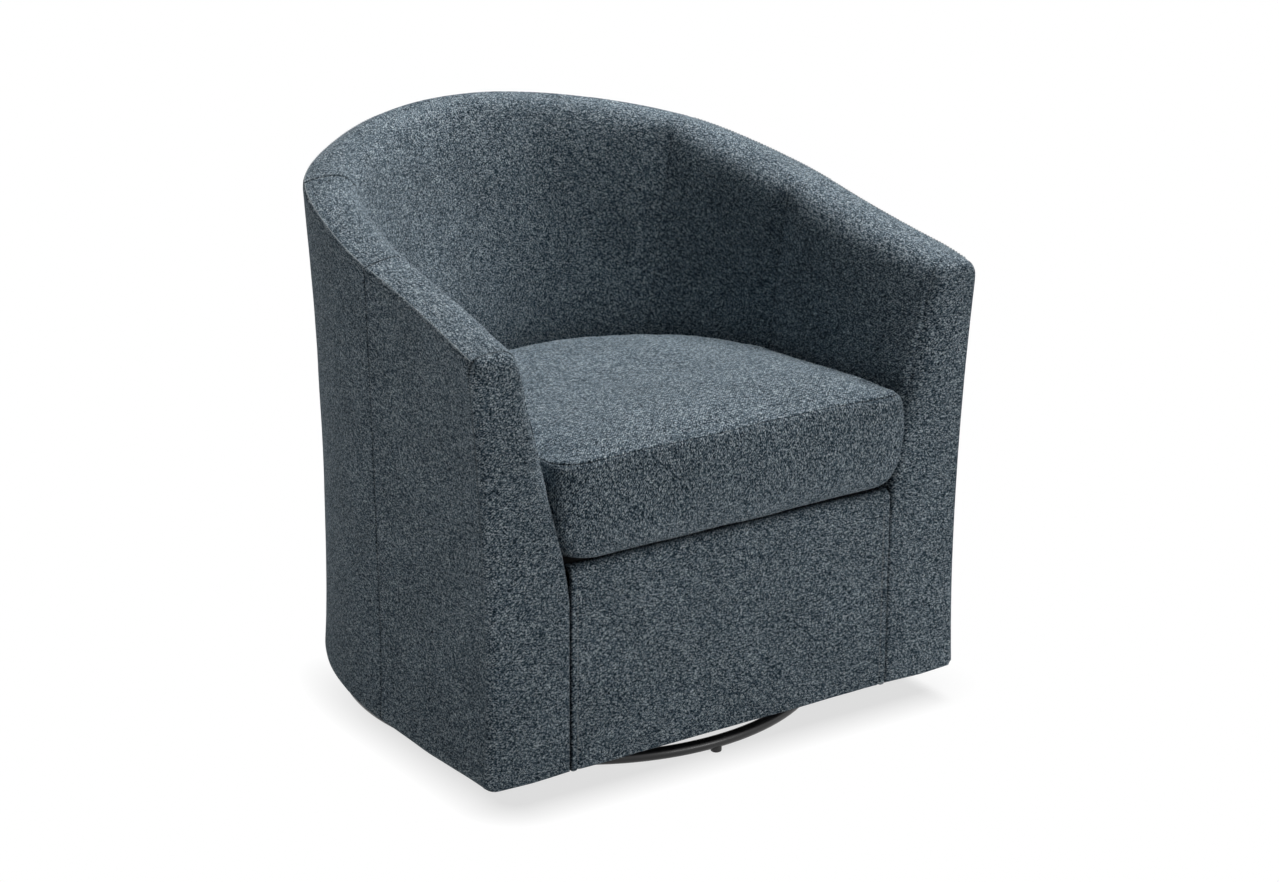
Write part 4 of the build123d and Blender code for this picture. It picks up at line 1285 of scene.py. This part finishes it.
def woven(name, dark, light, pitch):
    """Coarse plain weave, placed by the object's coordinates."""
    material, n, shader = new_material(name)
    place = n.add("ShaderNodeTexCoord").outputs["Object"]
    parts = n.add("ShaderNodeSeparateXYZ", {0: place})
    steps = [n.math("FRACT", n.math("DIVIDE", parts.outputs[k], pitch)) for k in (0, 1)]
    waves = [n.math("PINGPONG", n.math("MULTIPLY", step, 2.0), 1.0) for step in steps]
    height = n.math("MULTIPLY", waves[0], waves[1])
    fuzz = n.math("MULTIPLY", n.noise(place, FUZZ_SCALE), FUZZ_SHARE)
    value = n.math("MULTIPLY_ADD", height, WEAVE_SHARE, fuzz)
    n.feed(shader, {
        "Base Color": n.ramp(value, [(0.15, dark), (0.85, light)]),
        "Normal": n.bump(height, *WEAVE_BUMP),
        "Roughness": 0.85,
    })
    return material


fabric = upholstery()
thread = plain_material(
    "sewing_thread", [(0.35, (0.32, 0.36, 0.38)), (0.7, (0.52, 0.57, 0.59))], 160.0, 0.8, 0.3
)
lining = woven("lining_cloth", (0.008, 0.008, 0.009), (0.034, 0.034, 0.037), 0.0016)
slot_materials = {
    "black_steel": plain_material(
        "black_powder_coat", [(0.35, (0.0040, 0.0045, 0.0052)), (0.7, (0.0095, 0.0105, 0.0118))],
        38.0, 0.33, 0.08,
    ),
    "black_plastic": plain_material(
        "moulded_nylon", [(0.35, (0.014, 0.014, 0.014)), (0.7, (0.026, 0.026, 0.026))], 60.0, 0.55, 0.15
    ),
    "zinc_steel": plain_material(
        "zinc_plate", [(0.35, (0.50, 0.50, 0.49)), (0.7, (0.66, 0.66, 0.64))], 45.0, 0.36, 0.10, metal=1.0
    ),
    "timber": plain_material(
        "sanded_plywood", [(0.3, (0.36, 0.23, 0.12)), (0.7, (0.52, 0.36, 0.20))],
        9.0, 0.62, 0.25, stretch=(1.0, 1.0, 9.0),
    ),
    "webbing": woven("elastic_webbing", (0.010, 0.010, 0.009), (0.060, 0.056, 0.050), 0.0022),
}
CAD_SLOTS = {
    "black_steel": ("base_ring", "base_long_tube", "base_short_tubes"),
    "black_plastic": ("floor_glides", "ball_cage", "pivot_bush"),
    "zinc_steel": (
        "lower_bearing_plate", "lower_plate_screws", "pivot_stud", "pivot_washer", "pivot_nut",
        "bearing_balls", "upper_bearing_plate", "upper_plate_screws",
    ),
    "timber": (
        "bottom_frame", "swivel_rails", "arm_post_left", "arm_post_right", "side_post_left",
        "side_post_right", "corner_post_left", "corner_post_right", "back_post", "rim_rail_left",
        "rim_rail_right", "rim_rail_back", "deck_frame", "front_rail",
    ),
    "webbing": ("webbing_lengthwise", "webbing_crosswise"),
}
for pieces, material in (
    (covers["upholstery"], fabric), (thread_pieces, thread), (covers["lining"], lining),
):
    for piece in pieces:
        piece.data.materials.append(material)
for slot, nodes in CAD_SLOTS.items():
    for node in nodes:
        mesh = frame["nodes"][node].data
        mesh.materials.clear()
        mesh.materials.append(slot_materials[slot])


# Stage: white floor that keeps a soft shadow, soft light from above and the front

def seen_directly(n):
    """One for what the camera sees itself or in a reflection, nought for light bounced off cloth."""
    path = n.add("ShaderNodeLightPath")
    seen = n.math("MAXIMUM", path.outputs["Is Camera Ray"], path.outputs["Is Glossy Ray"])
    return n.math("MAXIMUM", seen, path.outputs["Is Transmission Ray"])


# Where the shadow on the floor is kept: a rounded patch under the tub
SHADOW_MIDDLE = 0.03
SHADOW_WIDE = 0.308
SHADOW_FRONT = 0.282
SHADOW_BACK = -0.02
SHADOW_TAPER = 0.35
SHADOW_EDGE = (0.025, 0.085)
FLOOR_SIZE = 30
FLOOR_LIT = 0.32
FLOOR_GLOW = 0.70
FLOOR_BOUNCE = 0.55
AMBIENT = 0.032


def grey(level):
    """Colour without a hue."""
    return (level, level, level, 1)


def floor():
    """White floor to the camera, pale grey to the light that bounces off it."""
    mesh = bpy.data.meshes.new("floor")
    corners = [(x * FLOOR_SIZE, y * FLOOR_SIZE, 0) for x, y in ((-1, -1), (1, -1), (1, 1), (-1, 1))]
    mesh.from_pydata(corners, [], [(0, 1, 2, 3)])
    obj = bpy.data.objects.new("floor", mesh)
    bpy.context.scene.collection.objects.link(obj)
    material, n, shader = new_material("floor_white")
    n.tree.nodes.remove(shader)
    parts = n.add("ShaderNodeSeparateXYZ", {0: n.add("ShaderNodeTexCoord").outputs["Object"]})
    across = n.math("ABSOLUTE", n.math("SUBTRACT", parts.outputs[0], SHADOW_MIDDLE))
    across = n.math("MAXIMUM", n.math("SUBTRACT", across, SHADOW_WIDE), 0.0)
    behind = n.math("MULTIPLY", n.math("SUBTRACT", parts.outputs[1], SHADOW_BACK), SHADOW_TAPER)
    ahead = n.math("SUBTRACT", n.math("MULTIPLY", parts.outputs[1], -1.0), SHADOW_FRONT)
    ahead = n.math("MAXIMUM", n.math("MAXIMUM", ahead, behind), 0.0)
    away = n.math("SQRT", n.math("MULTIPLY_ADD", across, across, n.math("MULTIPLY", ahead, ahead)))
    fade = n.ranged(away, *SHADOW_EDGE, 0.0, 1.0)
    lit = n.value("ShaderNodeBsdfDiffuse", {"Color": grey(FLOOR_LIT)})
    glow = n.value("ShaderNodeEmission", {"Color": grey(1), "Strength": FLOOR_GLOW})
    near = n.value("ShaderNodeAddShader", {0: lit, 1: glow})
    white = n.value("ShaderNodeEmission", {"Color": grey(1), "Strength": 1.0})
    shown = n.value("ShaderNodeMixShader", {0: fade, 1: near, 2: white})
    plain = n.value("ShaderNodeBsdfDiffuse", {"Color": grey(FLOOR_BOUNCE)})
    mixed = n.value("ShaderNodeMixShader", {0: seen_directly(n), 1: plain, 2: shown})
    n.feed(n.tree.nodes["Material Output"], {0: mixed})
    mesh.materials.append(material)


def world():
    """Dim even light all round, and white to the camera."""
    scene_world = bpy.data.worlds.new("studio")
    bpy.context.scene.world = scene_world
    scene_world.use_nodes = True
    n = Nodes(scene_world.node_tree)
    strength = n.ranged(seen_directly(n), 0.0, 1.0, AMBIENT, 1.0)
    n.feed(n.tree.nodes["Background"], {0: grey(1), 1: strength})


def softbox(name, place, aim, size, power):
    """Flat lamp that faces a point."""
    light = bpy.data.lights.new(name, "AREA")
    light.shape = "RECTANGLE"
    light.size, light.size_y = size
    light.energy = power
    obj = bpy.data.objects.new(name, light)
    obj.location = place
    obj.rotation_mode = "QUATERNION"
    obj.rotation_quaternion = (Vector(aim) - Vector(place)).to_track_quat("-Z", "Y")
    bpy.context.scene.collection.objects.link(obj)


floor()
world()
softbox("overhead", (1.0, 0.45, 3.0), (0, 0, 0.4), (1.4, 1.4), 75.5)
softbox("front_fill", (0.95, -2.7, 0.65), (0, -0.3, 0.3), (1.4, 0.6), 16.3)
softbox("left_fill", (-2.6, -0.3, 0.25), (-0.3, 0, 0.3), (2.0, 0.4), 8.5)

# Camera, at the photograph's viewing angle
CAMERA_AZIMUTH = math.radians(-33.04)
CAMERA_ELEVATION = math.radians(19.08)
CAMERA_DISTANCE = 4.4806
CAMERA_TARGET = Vector((0, 0, 0.400))
FOCAL_PIXELS = 3492.5
FRAME_PIXELS = 1279
AIM_RIGHT = 57.97
AIM_DOWN = 59.67
SENSOR = 36

back = Vector((
    math.sin(CAMERA_AZIMUTH) * math.cos(CAMERA_ELEVATION),
    -math.cos(CAMERA_AZIMUTH) * math.cos(CAMERA_ELEVATION),
    math.sin(CAMERA_ELEVATION),
))
right = Vector((math.cos(CAMERA_AZIMUTH), math.sin(CAMERA_AZIMUTH), 0))
up = back.cross(right)
look = -back + right * AIM_RIGHT / FOCAL_PIXELS - up * AIM_DOWN / FOCAL_PIXELS
look.normalize()
side = look.cross(up).normalized()
lens = bpy.data.cameras.new("camera")
lens.sensor_width = SENSOR
lens.lens = FOCAL_PIXELS / FRAME_PIXELS * SENSOR
lens.clip_end = 100
camera = bpy.data.objects.new("camera", lens)
turn = Matrix((side, side.cross(look), -look)).transposed()
camera.matrix_world = Matrix.Translation(CAMERA_TARGET + back * CAMERA_DISTANCE) @ turn.to_4x4()
bpy.context.scene.collection.objects.link(camera)
bpy.context.scene.camera = camera

bpy.context.scene.view_settings.view_transform = "Standard"
